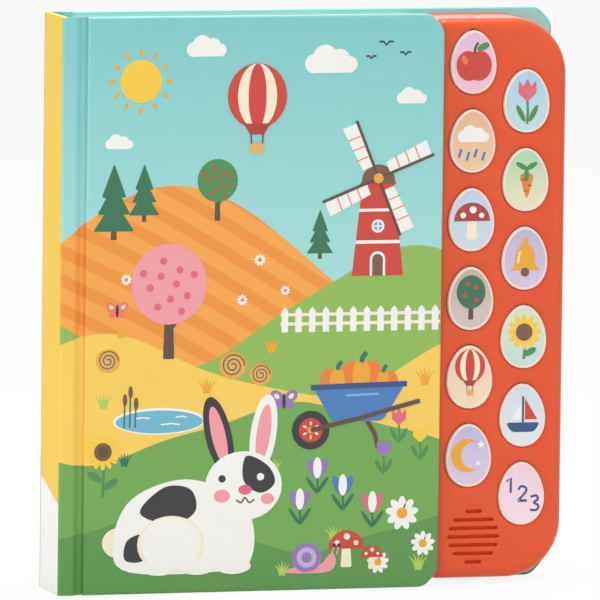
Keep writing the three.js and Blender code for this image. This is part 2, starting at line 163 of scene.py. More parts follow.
# Print stands this far proud, each layer and each of eight turns a little more, and roots in its face
INK_LAYER = 0.035
INK_STEP = 0.004
INK_TURNS = 8
INK_ROOT = 0.15


def srgb(*screen):
    """A colour as seen on screen, 0 to 255, as the linear values that a shader takes."""
    linear = [((c / 255 + 0.055) / 1.055) ** 2.4 if c > 10 else c / 255 / 12.92 for c in screen]
    return (*linear, 1.0)


# Outlines, as lists of (across, up)
def arc(cx, cy, radius, start, stop, steps):
    turns = [math.radians(start + (stop - start) * i / steps) for i in range(steps + 1)]
    return [(cx + radius * math.cos(t), cy + radius * math.sin(t)) for t in turns]


def circle(cx, cy, radius, steps=24):
    return arc(cx, cy, radius, 0, 360 - 360 / steps, steps - 1)


def spun(points, turn, cx=0.0, cy=0.0):
    """Points turned round the origin and then moved."""
    c, s = math.cos(math.radians(turn)), math.sin(math.radians(turn))
    return [(cx + u * c - v * s, cy + u * s + v * c) for u, v in points]


def rounded_rect(x0, x1, y0, y1, left, right, steps=8):
    return (
        arc(x0 + left, y0 + left, left, 180, 270, steps)
        + arc(x1 - right, y0 + right, right, 270, 360, steps)
        + arc(x1 - right, y1 - right, right, 0, 90, steps)
        + arc(x0 + left, y1 - left, left, 90, 180, steps)
    )


def egg(cx, cy, grow=0.0, steps=56):
    """An egg with its narrow end up, the key's outline grown by a margin."""
    outline = []
    for i in range(steps):
        turn = 2 * math.pi * i / steps
        rise = math.sin(turn)
        across = (KEY_WIDTH / 2 + grow) * math.cos(turn) * (1 - KEY_TAPER * rise)
        outline.append((cx + across, cy + (KEY_HEIGHT / 2 + grow) * rise))
    return outline


def board_outline(x0, x1):
    corners = [
        (x0, 0.0),
        (x1 - CORNER_ACROSS, 0.0),
        (x1, CORNER_UP),
        (x1, TOP_Z - CORNER_UP),
        (x1 - CORNER_ACROSS, TOP_Z),
        (x0, TOP_Z),
    ]
    return soft_corners(corners, CORNER_SOFTNESS, (1, 2, 3, 4))


def inset(outline, distance):
    """An anticlockwise outline moved inwards, its corners mitred."""
    moved = []
    count = len(outline)
    for i, (x, y) in enumerate(outline):
        normals = []
        for a, b in ((outline[i - 1], (x, y)), ((x, y), outline[(i + 1) % count])):
            dx, dy = b[0] - a[0], b[1] - a[1]
            length = math.hypot(dx, dy)
            if length > 1e-9:
                normals.append((-dy / length, dx / length))
        nx = sum(n[0] for n in normals) / len(normals)
        ny = sum(n[1] for n in normals) / len(normals)
        scale = distance / max(nx * nx + ny * ny, 0.25)
        moved.append((x + nx * scale, y + ny * scale))
    return moved


def soft_corners(outline, radius, only=None, steps=4):
    """The outline with its corners, or some of them, rounded by curves that start a radius away."""
    result = []
    count = len(outline)
    for i, corner in enumerate(outline):
        if only is not None and i not in only:
            result.append(corner)
            continue
        here = Vector(corner)
        before = Vector(outline[i - 1]) - here
        after = Vector(outline[(i + 1) % count]) - here
        reach = min(radius, before.length / 2.1, after.length / 2.1)
        start, stop = here + before.normalized() * reach, here + after.normalized() * reach
        for k in range(steps + 1):
            t = k / steps
            point = start * (1 - t) ** 2 + here * 2 * t * (1 - t) + stop * t ** 2
            result.append((point.x, point.y))
    return result


def smooth(points, steps=6, closed=False):
    """A smooth line through a few chosen points."""
    count = len(points)
    result = []
    for i in range(count if closed else count - 1):
        near = [i + k for k in (-1, 0, 1, 2)]
        near = [k % count if closed else min(max(k, 0), count - 1) for k in near]
        for k in range(steps):
            t = k / steps
            result.append(tuple(
                0.5 * (2 * b + (c - a) * t + (2 * a - 5 * b + 4 * c - d) * t * t
                       + (3 * b - a - 3 * c + d) * t ** 3)
                for a, b, c, d in zip(*(points[k] for k in near))
            ))
    return result if closed else result + [points[-1]]


def rounding(steps, first=0):
    """A rounded edge in shares of its radius: what is left of it across, and how far it has dropped."""
    angles = [math.pi / 2 * k / steps for k in range(first, steps + 1)]
    return [(1 - math.sin(angle), 1 - math.cos(angle)) for angle in angles]


def facing(x, y, depth):
    """Outline and depth to a place: the outline stands in X and Z, the depth runs along Y."""
    return (x, depth, y)


def standing(x, y, depth):
    """Outline and depth to a place: the outline lies in X and Y, the depth runs up Z."""
    return (x, y, depth)


class Piece:
    """Faces gathered by finish, in millimetres, and made into one object at the origin."""

    def __init__(self, name):
        self.name = name
        self.corners = []
        self.faces = []
        self.face_finish = []
        self.finishes = []
        self.prints = 0

    def ring(self, outline, depth, place=facing):
        """The corners of an outline at one depth, as their indices."""
        first = len(self.corners)
        self.corners.extend(place(x, y, depth) for x, y in outline)
        return list(range(first, first + len(outline)))

    def add_face(self, corners, material):
        if material not in self.finishes:
            self.finishes.append(material)
        self.faces.append(corners)
        self.face_finish.append(self.finishes.index(material))

    def band(self, a, b, material):
        count = len(a)
        for i in range(count):
            j = (i + 1) % count
            self.add_face([a[i], b[i], b[j], a[j]], material)

    def rings(self, rings, material):
        for a, b in zip(rings, rings[1:]):
            self.band(a, b, material)

    def cap(self, loops, material):
        """A flat face inside the first loop and outside the others."""
        flat = [index for loop in loops for index in loop]
        shapes = [[Vector(self.corners[index]) for index in loop] for loop in loops]
        for triangle in tessellate_polygon(shapes):
            self.add_face([flat[i] for i in triangle], material)

    def prism(self, outline, near_depth, far_depth, material):
        near = self.ring(outline, near_depth)
        far = self.ring(outline, far_depth)
        self.band(near, far, material)
        self.cap([near], material)
        self.cap([far], material)

    def make(self, body=None, replaced=None, angle=35):
        """The finished object, with the body that it rides on and the node that it stands for."""
        mesh = bpy.data.meshes.new(self.name)
        mesh.from_pydata([tuple(c * MM for c in p) for p in self.corners], [], self.faces)
        for material in self.finishes:
            mesh.materials.append(material)
        mesh.polygons.foreach_set("material_index", self.face_finish)
        work = bmesh.new()
        work.from_mesh(mesh)
        bmesh.ops.remove_doubles(work, verts=work.verts, dist=1e-7)
        bmesh.ops.recalc_face_normals(work, faces=work.faces)
        work.to_mesh(mesh)
        work.free()
        mesh.shade_smooth()
        mesh.set_sharp_from_angle(angle=math.radians(angle))
        piece = bpy.data.objects.new(self.name, mesh)
        bpy.context.collection.objects.link(piece)
        if body:
            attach(piece, body)
        if replaced:
            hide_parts(replaced)
        return piece


def fillet_rings(piece, outline, start, stop, edge, place, steps=6, flat=0.8):
    """Rings from a flat face at start, over a rounded edge, towards stop."""
    sign = 1 if stop > start else -1
    rings = [piece.ring(inset(outline, edge + flat), start, place)]
    for left, drop in rounding(steps):
        rings.append(piece.ring(inset(outline, edge * left), start + sign * edge * drop, place))
    return rings


def slab(piece, outline, front, back, edge, finishes, place=facing, holes=(), steps=6, flat=0.8):
    """A closed plate with rounded edges, finished face, side and back, and plain holes through it."""
    face, side, rear = finishes
    front_rings = fillet_rings(piece, outline, front, back, edge, place, steps, flat)
    back_rings = fillet_rings(piece, outline, back, front, edge, place, steps, flat)
    front_holes = []
    back_holes = []
    for hole in holes:
        front_holes.append(piece.ring(hole, front, place))
        back_holes.append(piece.ring(hole, back, place))
        piece.band(front_holes[-1], back_holes[-1], rear)
    piece.cap([front_rings[0]] + front_holes, face)
    piece.rings(front_rings[:2], face)
    piece.rings(front_rings[1:] + back_rings[:0:-1], side)
    piece.rings(back_rings[:2], rear)
    piece.cap([back_rings[0]] + back_holes, rear)


def tube(piece, x, z, y0, y1, outer, inner, material, steps=32):
    """A tube along Y."""
    near, far = (piece.ring(circle(x, z, outer, steps), y) for y in (y0, y1))
    near_bore, far_bore = (piece.ring(circle(x, z, inner, steps), y) for y in (y0, y1))
    for a, b in ((near, far), (near_bore, far_bore), (near, near_bore), (far, far_bore)):
        piece.band(a, b, material)


# Shaders
class Graph:
    """A node tree in the making."""

    def __init__(self, tree):
        self.nodes = tree.nodes
        self.links = tree.links

    def feed(self, socket, value):
        """Links an output to a socket or sets the socket to a plain value; None leaves it as it is."""
        if isinstance(value, bpy.types.NodeSocket):
            self.links.new(value, socket)
        elif value is not None:
            socket.default_value = value

    def add(self, kind, inputs=None, **settings):
        """A new node, with its settings made and its inputs fed."""
        node = self.nodes.new("ShaderNode" + kind)
        for name, value in settings.items():
            setattr(node, name, value)
        for socket, value in (inputs or {}).items():
            self.feed(node.inputs[socket], value)
        return node

    def calc(self, operation, first, second=None, clamp=False):
        return self.add("Math", {0: first, 1: second}, operation=operation, use_clamp=clamp).outputs[0]

    def mix(self, mask, under, over):
        inputs = {"Factor": mask, "A": under, "B": over}
        return self.add("Mix", inputs, data_type="RGBA").outputs["Result"]

    def noise(self, vector, scale, detail=3.0):
        inputs = {"Vector": vector, "Scale": scale, "Detail": detail, "Roughness": 0.5}
        return self.add("TexNoise", inputs).outputs["Fac"]

    def axes(self, vector):
        return self.add("SeparateXYZ", {0: vector}).outputs


class Group(Graph):
    """A shared group: each input is a number, the default of a float, or the name of another kind."""

    def __init__(self, name, inputs, outputs):
        self.tree = bpy.data.node_groups.new(name, "ShaderNodeTree")
        super().__init__(self.tree)
        sockets = self.tree.interface
        for label, value in inputs.items():
            kind = value if isinstance(value, str) else "Float"
            socket = sockets.new_socket(label, in_out="INPUT", socket_type="NodeSocket" + kind)
            if kind == "Float":
                socket.default_value = value
        for label, kind in outputs.items():
            sockets.new_socket(label, in_out="OUTPUT", socket_type="NodeSocket" + kind)
        self.given = self.nodes.new("NodeGroupInput").outputs
        self.result = self.nodes.new("NodeGroupOutput").inputs


def surface_group():
    """A colour that drifts a little over the surface, with a roughness and a height that vary too."""
    inputs = {"Vector": "Vector", "Color": "Color", "Drift": 0.05, "Patch Scale": 60.0}
    inputs |= {"Grain Scale": 2500.0, "Roughness": 0.4, "Roughness Drift": 0.1}
    group = Group("worked_surface", inputs, {"Color": "Color", "Roughness": "Float", "Height": "Float"})
    given, result = group.given, group.result
    patch = group.noise(given["Vector"], given["Patch Scale"])
    grain = group.noise(given["Vector"], given["Grain Scale"], 2.0)
    centred = group.calc("SUBTRACT", patch, 0.5)
    gain = group.calc("ADD", group.calc("MULTIPLY", centred, given["Drift"]), 1.0)
    tint = group.add("VectorMath", {0: given["Color"], "Scale": gain}, operation="SCALE")
    shift = group.calc("MULTIPLY", centred, given["Roughness Drift"])
    group.feed(result["Color"], tint.outputs[0])
    group.feed(result["Roughness"], group.calc("ADD", shift, given["Roughness"], clamp=True))
    group.feed(result["Height"], grain)
    return group.tree


LINE_SOFTNESS = 0.15


def hill_group():
    """A mask that is 1 below a rolling line, drawn with two waves over the distance from the spine."""
    inputs = {"Vector": "Vector", "Height": 0.1, "Rise": 0.02, "Wave": 0.2, "Start": 0.0}
    inputs |= {"Ripple": 0.003, "Ripple Wave": 0.07}
    group = Group("hill_line", inputs, {"Mask": "Float"})
    given = group.given
    across, _, up = group.axes(given["Vector"])
    along = group.calc("SUBTRACT", across, given["Start"])
    waves = []
    for length, size in (("Wave", "Rise"), ("Ripple Wave", "Ripple")):
        turn = group.calc("MULTIPLY", group.calc("DIVIDE", along, given[length]), 2 * math.pi)
        waves.append(group.calc("MULTIPLY", group.calc("COSINE", turn), given[size]))
    line = group.calc("ADD", group.calc("ADD", *waves), given["Height"])
    sharp = group.calc("MULTIPLY", group.calc("SUBTRACT", line, up), 1 / (LINE_SOFTNESS * MM))
    group.feed(group.result["Mask"], group.calc("ADD", sharp, 0.5, clamp=True))
    return group.tree


SURFACE = surface_group()
HILL = hill_group()
BUMP_DISTANCE = 0.0001
LAMINATE = {"Coat Weight": 0.15, "Coat Roughness": 0.25}


class Finish(Graph):
    """A material round one Principled shader, patterned by the piece's own coordinates."""

    def __init__(self, name, fixed=None):
        self.material = bpy.data.materials.new(name)
        self.material.use_nodes = True
        super().__init__(self.material.node_tree)
        self.nodes.clear()
        output = self.add("OutputMaterial")
        self.shader = self.add("BsdfPrincipled", fixed)
        self.feed(output.inputs["Surface"], self.shader.outputs[0])
        self.place = self.add("TexCoord").outputs["Object"]

    def climb(self, up, low, high, **settings):
        """From 0 at one height to 1 at another."""
        inputs = {"Value": up, "From Min": low * MM, "From Max": high * MM}
        return self.add("MapRange", inputs, **settings).outputs["Result"]

    def stripes(self, along, pitch, gap):
        """1 on stripes that repeat with a pitch, the gap being the share of it before each stripe."""
        share = self.calc("FRACT", self.calc("DIVIDE", along, pitch * MM))
        return self.calc("GREATER_THAN", share, gap)

    def hill(self, vector, height, rise, wave, start, ripple=0.0, ripple_wave=60.0):
        """The mask of one rolling line, its sizes in millimetres from the spine and the book's foot."""
        sizes = {"Height": height, "Rise": rise, "Wave": wave, "Start": SPINE_X + start}
        sizes |= {"Ripple": ripple, "Ripple Wave": ripple_wave}
        inputs = {"Vector": vector} | {label: value * MM for label, value in sizes.items()}
        return self.add("Group", inputs, node_tree=HILL).outputs["Mask"]

    def dress(self, color, rough=0.4, drift=0.05, patch=60.0, grain=2500.0, rough_drift=0.1, bump=0.02):
        """The material, once the shared surface group feeds its shader."""
        inputs = {"Vector": self.place, "Color": color, "Drift": drift, "Patch Scale": patch}
        inputs |= {"Grain Scale": grain, "Roughness": rough, "Roughness Drift": rough_drift}
        surface = self.add("Group", inputs, node_tree=SURFACE).outputs
        relief = self.add("Bump", {"Strength": bump, "Distance": BUMP_DISTANCE, "Height": surface["Height"]})
        self.feed(self.shader.inputs["Base Color"], surface["Color"])
        self.feed(self.shader.inputs["Roughness"], surface["Roughness"])
        self.feed(self.shader.inputs["Normal"], relief.outputs["Normal"])
        return self.material


def printed(name, color, rough=0.42):
    """Ink on laminated paper."""
    return Finish(name, LAMINATE).dress(color, rough, 0.05, patch=45.0, grain=1800.0, bump=0.05)


def moulded(name, color, rough=0.36, grain=1400.0, bump=0.06):
    """Moulded plastic with a faint grain."""
    finish = Finish(name, {"Specular IOR Level": 0.38})
    return finish.dress(color, rough, 0.04, patch=25.0, grain=grain, rough_drift=0.08, bump=bump)


def plated(name, color, rough=0.28):
    """Bright metal with a fine uneven plating."""
    finish = Finish(name, {"Metallic": 1.0})
    return finish.dress(color, rough, 0.12, patch=300.0, grain=4000.0, rough_drift=0.2, bump=0.08)


SKY_LOW = srgb(163, 222, 218)
SKY_HIGH = srgb(128, 204, 202)
FIELD_ORANGE = srgb(247, 166, 70)
FURROW = srgb(240, 148, 50)
HILL_GREEN = srgb(142, 186, 84)
WHEAT = srgb(250, 208, 92)
MEADOW = srgb(110, 168, 78)
MEADOW_DEEP = srgb(88, 148, 72)
SPINE_YELLOW = srgb(252, 208, 66)
SPINE_WHITE = srgb(250, 249, 246)
CARD = srgb(236, 230, 216)
CARD_SHADE = srgb(196, 186, 168)

SKY_FROM, SKY_TO = 150, 255
FURROW_SLOPE = 0.55
FURROW_TURNS = 22.0
FURROW_BEND = 0.004
FURROW_PITCH = 13
FURROW_GAP = 0.55
LEAF_PITCH = 0.42
LEAF_GAP = 0.74


def landscape():
    """The wrap's print: sky, a furrowed field, two hills, a wheat strip and a meadow."""
    finish = Finish("landscape_print", LAMINATE)
    across, _, up = finish.axes(finish.place)
    color = finish.mix(finish.climb(up, SKY_FROM, SKY_TO), SKY_LOW, SKY_HIGH)
    along = finish.calc("ADD", finish.calc("MULTIPLY", across, FURROW_SLOPE), up)
    bend = finish.calc("SINE", finish.calc("MULTIPLY", across, FURROW_TURNS))
    bent = finish.calc("ADD", along, finish.calc("MULTIPLY", bend, FURROW_BEND))
    field = finish.mix(finish.stripes(bent, FURROW_PITCH, FURROW_GAP), FIELD_ORANGE, FURROW)
    layers = [
        (field, 150, 34, 250, 52),
        (HILL_GREEN, 128, 26, 230, 165, 1.5, 70),
        (WHEAT, 102, 14, 190, 20, 2.0, 80),
        (MEADOW, 72, 12, 200, 110, 1.5, 64),
        (MEADOW_DEEP, 26, 8, 150, 40, 1.0, 50),
    ]
    for over, *line in layers:
        color = finish.mix(finish.hill(finish.place, *line), color, over)
    return finish.dress(color, rough=0.4, drift=0.04, patch=40.0, grain=1800.0, bump=0.05)


def spine_print():
    """Yellow wrap whose foot is left white, with a boundary that climbs from the front to the back."""
    finish = Finish("spine_print")
    _, depth, up = finish.axes(finish.place)
    turned = finish.add("CombineXYZ", {"X": depth, "Z": up}).outputs[0]
    foot = finish.hill(turned, 46, 5.5, 96, BACK_Y + 6 - SPINE_X)
    color = finish.mix(foot, SPINE_YELLOW, SPINE_WHITE)
    return finish.dress(color, rough=0.55, drift=0.04, patch=40.0, grain=1800.0, bump=0.05)


def card_edges():
    """Stacked leaves: fine lines along the thickness on the cut edges."""
    finish = Finish("leaf_edges")
    depth = finish.axes(finish.place)[1]
    color = finish.mix(finish.stripes(depth, LEAF_PITCH, LEAF_GAP), CARD, CARD_SHADE)
    return finish.dress(color, rough=0.75, drift=0.06, patch=80.0, grain=3000.0, bump=0.12)


LANDSCAPE = landscape()
SPINE_PRINT = spine_print()
LINER = printed("cover_liner", srgb(164, 220, 216), 0.5)
CARD_EDGES = card_edges()
PANEL_ORANGE = moulded("panel_plastic", srgb(232, 86, 40), 0.34)
KEY_RIM = moulded("key_rim_plastic", srgb(244, 226, 214), 0.3)
RUBBER = moulded("keypad_rubber", srgb(182, 184, 186), 0.8, 3000.0, 0.15)
CIRCUIT = moulded("circuit_resist", srgb(46, 106, 60), 0.4, 2600.0, 0.1)
RESIN = moulded("chip_resin", srgb(22, 22, 24), 0.25)
CLOTH = moulded("grille_cloth", srgb(226, 84, 44), 0.9, 5200.0, 0.5)
CONE_PAPER = moulded("cone_paper", srgb(38, 38, 42), 0.85, 3600.0, 0.3)
WIRE_RED = moulded("wire_red_sleeve", srgb(178, 40, 32), 0.45)
WIRE_BLACK = moulded("wire_black_sleeve", srgb(28, 28, 30), 0.45)
STEEL = plated("plated_steel", (0.62, 0.62, 0.64, 1.0))
MAGNET = plated("magnet_steel", (0.2, 0.2, 0.21, 1.0), 0.4)

INK_COLORS = {
    "white": (246, 245, 240),
    "cream": (250, 236, 206),
    "black": (44, 42, 44),
    "red": (206, 62, 48),
    "brick": (176, 52, 44),
    "coral": (240, 120, 96),
    "pink": (242, 158, 166),
    "rose": (226, 104, 122),
    "yellow": (250, 206, 60),
    "gold": (238, 168, 44),
    "tan": (226, 178, 104),
    "brown": (122, 82, 60),
    "bark": (92, 66, 54),
    "leaf": (72, 140, 74),
    "fern": (44, 112, 78),
    "lime": (176, 206, 90),
    "blue": (66, 124, 186),
    "navy": (44, 78, 134),
    "pond": (112, 184, 208),
    "violet": (150, 118, 186),
    "lilac": (196, 178, 220),
    "orange": (240, 128, 48),
}
INKS = {name: printed("ink_" + name, srgb(*color)) for name, color in INK_COLORS.items()}


# Printed motifs: thin closed inlays whose roots lie in what they are printed on
class Print:
    """Inlays on a face that looks along -Y, or +Y where out is -1, each layer a hair above the last."""

    def __init__(self, piece, face_y, x=0.0, z=0.0, scale=1.0, out=1):
        self.piece = piece
        self.face_y = face_y
        self.out = out
        self.x = x
        self.z = z
        self.scale = scale
        self.level = 1

    def at(self, x, z, scale=1.0, level=None):
        """The same print seen from another place, for a motif drawn round its own centre."""
        spot = (self.x + x * self.scale, self.z + z * self.scale, self.scale * scale)
        other = Print(self.piece, self.face_y, *spot, self.out)
        other.level = self.level if level is None else level
        return other

    def shape(self, outline, ink, lift=0):
        placed = [(self.x + u * self.scale, self.z + v * self.scale) for u, v in outline]
        self.piece.prints += 1
        fine = self.piece.prints % INK_TURNS * INK_STEP
        front = self.face_y - self.out * ((self.level + lift) * INK_LAYER + fine)
        self.piece.prism(placed, front, self.face_y + self.out * INK_ROOT, INKS[ink])

    def disc(self, cx, cy, rx, ink, ry=None, turn=0.0, lift=0, steps=28):
        ry = rx if ry is None else ry
        oval = [(u * rx, v * ry) for u, v in circle(0, 0, 1, steps)]
        self.shape(spun(oval, turn, cx, cy), ink, lift)

    def dots(self, spots, ink, lift=0):
        for x, y, radius in spots:
            self.disc(x, y, radius, ink, lift=lift)

    def patch(self, corners, ink, radius=1.5, lift=0):
        self.shape(soft_corners(corners, radius), ink, lift)

    def post(self, foot, foot_half, top, top_half, ink, radius=1.5, lift=0):
        """A patch on the middle line, given by the height and half width of its foot and of its top."""
        corners = [(-foot_half, foot), (foot_half, foot), (top_half, top), (-top_half, top)]
        self.patch(corners, ink, radius, lift)

    def stroke(self, path, width, ink, lift=0, taper=1.0):
        """A flat-ended line along a path, which may grow thinner."""
        count = len(path)
        left, right = [], []
        for i, (u, v) in enumerate(path):
            a, b = path[max(i - 1, 0)], path[min(i + 1, count - 1)]
            length = math.hypot(b[0] - a[0], b[1] - a[1])
            nx, ny = -(b[1] - a[1]) / length, (b[0] - a[0]) / length
            half = width / 2 * (1 + (taper - 1) * i / (count - 1))
            left.append((u + nx * half, v + ny * half))
            right.append((u - nx * half, v - ny * half))
        self.shape(right + left[::-1], ink, lift)

    def petals(self, cx, cy, count, reach, size, ink, start=90.0, slim=0.6, lift=0):
        for i in range(count):
            turn = start + 360 * i / count
            u = cx + reach * math.cos(math.radians(turn))
            v = cy + reach * math.sin(math.radians(turn))
            self.disc(u, v, size, ink, size * slim, turn, lift, steps=16)


# Covers
def ease(value, start, stop):
    share = min(max((value - start) / (stop - start), 0), 1)
    return share * share * (3 - 2 * share)


def groove_at(reach):
    """Depth under the cover's face: a low pillow from the spine, then the hinge groove."""
    fall = RIDGE_FALL * (1 - ease(reach, 0, RIDGE_CREST))
    return fall + GROOVE_DEPTH * ease(reach, GROOVE_START, GROOVE_END)


def hinge_skin(name, side):
    """The wrap folded into one hinge groove, from the spine's ridge to under the board's edge."""
    piece = Piece(name)
    outer, inner = [], []
    centre = SPINE_EDGE + groove_at(SPINE_EDGE)
    for k in range(SKIN_BENDS + 1):
        turn = math.pi / (2 * SKIN_BENDS) * k
        c, s = math.cos(turn), math.sin(turn)
        for path, radius in ((outer, SPINE_EDGE), (inner, SPINE_EDGE - SKIN)):
            path.append((SPINE_X + SPINE_EDGE - radius * c, side * (BACK_Y - centre + radius * s)))
    for i in range(1, SKIN_STEPS + 1):
        reach = SPINE_EDGE + (JOINT_REACH + BOARD_EDGE - SPINE_EDGE) * i / SKIN_STEPS
        outer.append((SPINE_X + reach, side * (BACK_Y - groove_at(reach))))
        inner.append((SPINE_X + reach, side * (BACK_Y - groove_at(reach) - SKIN)))
    outline = outer + inner[::-1]
    if side > 0:
        outline.reverse()
    rings = [piece.ring(outline, z, standing) for z in SKIN_LEVELS]
    piece.rings(rings, LANDSCAPE)
    piece.cap([rings[0]], LANDSCAPE)
    piece.cap([rings[-1]], LANDSCAPE)
    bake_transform(piece.make(angle=40))


def board(name, body, node, face, inner, edge_x, holes=()):
    """One wrapped board, from the hinge groove to its cut corners."""
    piece = Piece(name)
    outline = board_outline(SPINE_X + JOINT_REACH, edge_x)
    slab(piece, outline, face, inner, BOARD_EDGE, (LANDSCAPE, LANDSCAPE, LINER), holes=holes)
    piece.make(body, node)


def door_window():
    left, right = DOOR_LOW[0] - WINDOW_MARGIN, DOOR_HIGH[0] + WINDOW_MARGIN
    low, high = DOOR_LOW[2] - WINDOW_MARGIN, DOOR_HIGH[2] + WINDOW_MARGIN
    return rounded_rect(left, right, low, high, WINDOW_CORNER, WINDOW_CORNER)


def spine_board():
    piece = Piece("spine_board")
    side = SPINE_EDGE + groove_at(SPINE_EDGE) - SPINE_LAP
    corners = (SPINE_X, SPINE_X + SPINE_THICK, FRONT_Y + side, BACK_Y - side)
    outline = rounded_rect(*corners, SPINE_CORNER, SPINE_CORNER, 6)
    slab(piece, outline, 0.0, TOP_Z, SPINE_END_EDGE, (SPINE_PRINT,) * 3, place=standing, flat=0.25)
    piece.make("leaves", "spine")


# Sound panel
def slot_outlines():
    outlines = []
    end = SLOT_HEIGHT / 2
    for i in range(SLOT_COUNT):
        rise = (i - (SLOT_COUNT - 1) / 2) * SLOT_PITCH
        half = math.sqrt(GRILLE_RADIUS ** 2 - rise ** 2)
        low, high = SPEAKER_Z + rise - end, SPEAKER_Z + rise + end
        outlines.append(rounded_rect(SPEAKER_X - half, SPEAKER_X + half, low, high, end, end, 5))
    return outlines


def rimmed_hole(piece, outline, face, inner, edge, material):
    """A hole whose rim is softened: the anticlockwise outline grows towards the face."""
    rings = [piece.ring(inset(outline, -(edge * left)), face + edge * drop) for left, drop in rounding(3)]
    rings.append(piece.ring(outline, inner))
    piece.rings(rings, material)
    return rings[0], rings[-1]


def panel_shell():
    piece = Piece("panel_shell")
    box = (SHELL_LOW[0], SHELL_HIGH[0], SHELL_LOW[2], SHELL_HIGH[2])
    outer = rounded_rect(*box, SHELL_INNER_CORNER, SHELL_CORNER, 24)
    hollow = inset(outer, SHELL_WALL)
    face, rear = SHELL_LOW[1], SHELL_HIGH[1]
    inner_face = face + SHELL_WALL
    outside = fillet_rings(piece, outer, face, rear, FACE_EDGE, facing, steps=10, flat=0.4)
    outside.append(piece.ring(outer, rear))
    inside = fillet_rings(piece, hollow, inner_face, rear, FACE_EDGE - SHELL_WALL, facing, steps=5, flat=0.3)
    inside.append(piece.ring(hollow, rear))
    piece.rings(outside, PANEL_ORANGE)
    piece.rings(inside, PANEL_ORANGE)
    piece.band(outside[-1], inside[-1], PANEL_ORANGE)
    eggs = [egg(*middle_of(f"button_{i + 1}"), KEY_CLEARANCE) for i in range(KEY_COUNT)]
    openings = [(outline, WINDOW_RIM) for outline in eggs]
    openings += [(outline, SLOT_RIM) for outline in slot_outlines()]
    near_holes, far_holes = [], []
    for outline, edge in openings:
        near, far = rimmed_hole(piece, outline, face, inner_face, edge, PANEL_ORANGE)
        near_holes.append(near)
        far_holes.append(far)
    piece.cap([outside[0]] + near_holes, PANEL_ORANGE)
    piece.cap([inside[0]] + far_holes, PANEL_ORANGE)
    root = inner_face - OVERLAP
    collar = (SPEAKER_HIGH[0] - SPEAKER_LOW[0]) / 2 + SEAT_GAP
    collar_end = SPEAKER_HIGH[1] + OVERLAP
    tube(piece, SPEAKER_X, SPEAKER_Z, root, collar_end, collar + COLLAR_WALL, collar, PANEL_ORANGE)
    for i in range(BOSS_COUNT):
        screw = f"case_screw_{i + 1}"
        tip = box_mm(screw)[0][1]
        tube(piece, *middle_of(screw), root, tip + BOSS_REACH, BOSS_RADIUS, BOSS_BORE, PANEL_ORANGE)
    cloth = circle(SPEAKER_X, SPEAKER_Z, collar - CLOTH_MARGIN, 32)
    piece.prism(cloth, inner_face + CLOTH_FRONT, inner_face + CLOTH_BACK, CLOTH)
    piece.make("back", "module_front_shell")


# Each key's label fades from one tint at its foot to another at its head.
LABELS = [
    ((246, 198, 214), (234, 196, 222)),
    ((244, 204, 166), (236, 190, 156)),
    ((206, 224, 232), (196, 216, 240)),
    ((214, 198, 192), (198, 182, 164)),
    ((248, 224, 190), (242, 208, 180)),
    ((222, 204, 230), (196, 190, 226)),
    ((194, 226, 226), (178, 214, 240)),
    ((238, 230, 196), (176, 222, 182)),
    ((216, 202, 228), (194, 186, 218)),
    ((196, 228, 220), (216, 234, 200)),
    ((228, 234, 238), (212, 226, 238)),
    ((252, 224, 234), (244, 212, 226)),
]


def label_print(index, middle):
    finish = Finish(f"label_{index}")
    up = finish.axes(finish.place)[2]
    reach = (middle - KEY_HEIGHT / 2, middle + KEY_HEIGHT / 2)
    low, high = (srgb(*tint) for tint in LABELS[index - 1])
    color = finish.mix(finish.climb(up, *reach, interpolation_type="SMOOTHSTEP"), low, high)
    return finish.dress(color, rough=0.4, drift=0.04, patch=60.0, grain=2200.0, bump=0.04)


def key_cap(index):
    """A key: rounded pale rim, a printed label set a little below it, a flange and a stem."""
    node = f"button_{index}"
    cx, cz = middle_of(node)
    low, high = box_mm(node)
    top = low[1]
    label_face = top + LABEL_DROP
    flange_front = SHELL_LOW[1] + SHELL_WALL + SEAT_GAP
    flange_back = flange_front + FLANGE_THICK
    label = label_print(index, cz)
    piece = Piece(f"key_{index}_cap")
    profile = [(grow, label_face) for grow in LABEL_MARGINS]
    profile += [(grow, top + drop) for grow, drop in (*KEY_LIP, (-KEY_EDGE, 0))]
    profile += [(-KEY_EDGE * left, top + KEY_EDGE * drop) for left, drop in rounding(KEY_EDGE_STEPS, 1)]
    profile += [(0, flange_front), (FLANGE, flange_front), (FLANGE, flange_back)]
    rings = [piece.ring(egg(cx, cz, grow), depth) for grow, depth in profile]
    piece.rings(rings[:2], label)
    piece.rings(rings[1:], KEY_RIM)
    piece.cap([rings[0]], label)
    piece.cap([rings[-1]], KEY_RIM)
    piece.prism(circle(cx, cz, STEM_RADIUS, 32), flange_back - OVERLAP, high[1], KEY_RIM)
    ICONS[index - 1](Print(piece, label_face, cx, cz, ICON_SCALE))
    piece.make(f"key_{index}", node)


# Icons, drawn in millimetres round a key's centre
def apple_icon(art):
    art.disc(-1.9, -1.2, 4.2, "red", 5.0, 8)
    art.disc(1.9, -1.2, 4.2, "red", 5.0, -8, lift=1)
    art.stroke([(0, 3), (0.4, 5), (1.3, 6.6)], 0.8, "bark", 2)
    art.disc(3.2, 5.2, 2.4, "leaf", 1.1, 25, lift=2)
    art.disc(-3.2, 0.8, 0.9, "coral", 1.6, 20, lift=2)


def rain_icon(art):
    cloud(art.at(0, 1.6, 0.42))
    for i, x in enumerate((-4, -1.3, 1.4, 4.1)):
        art.stroke([(x, -2.6 - (i % 2)), (x - 0.9, -5.4 - (i % 2))], 0.8, "blue", 2)


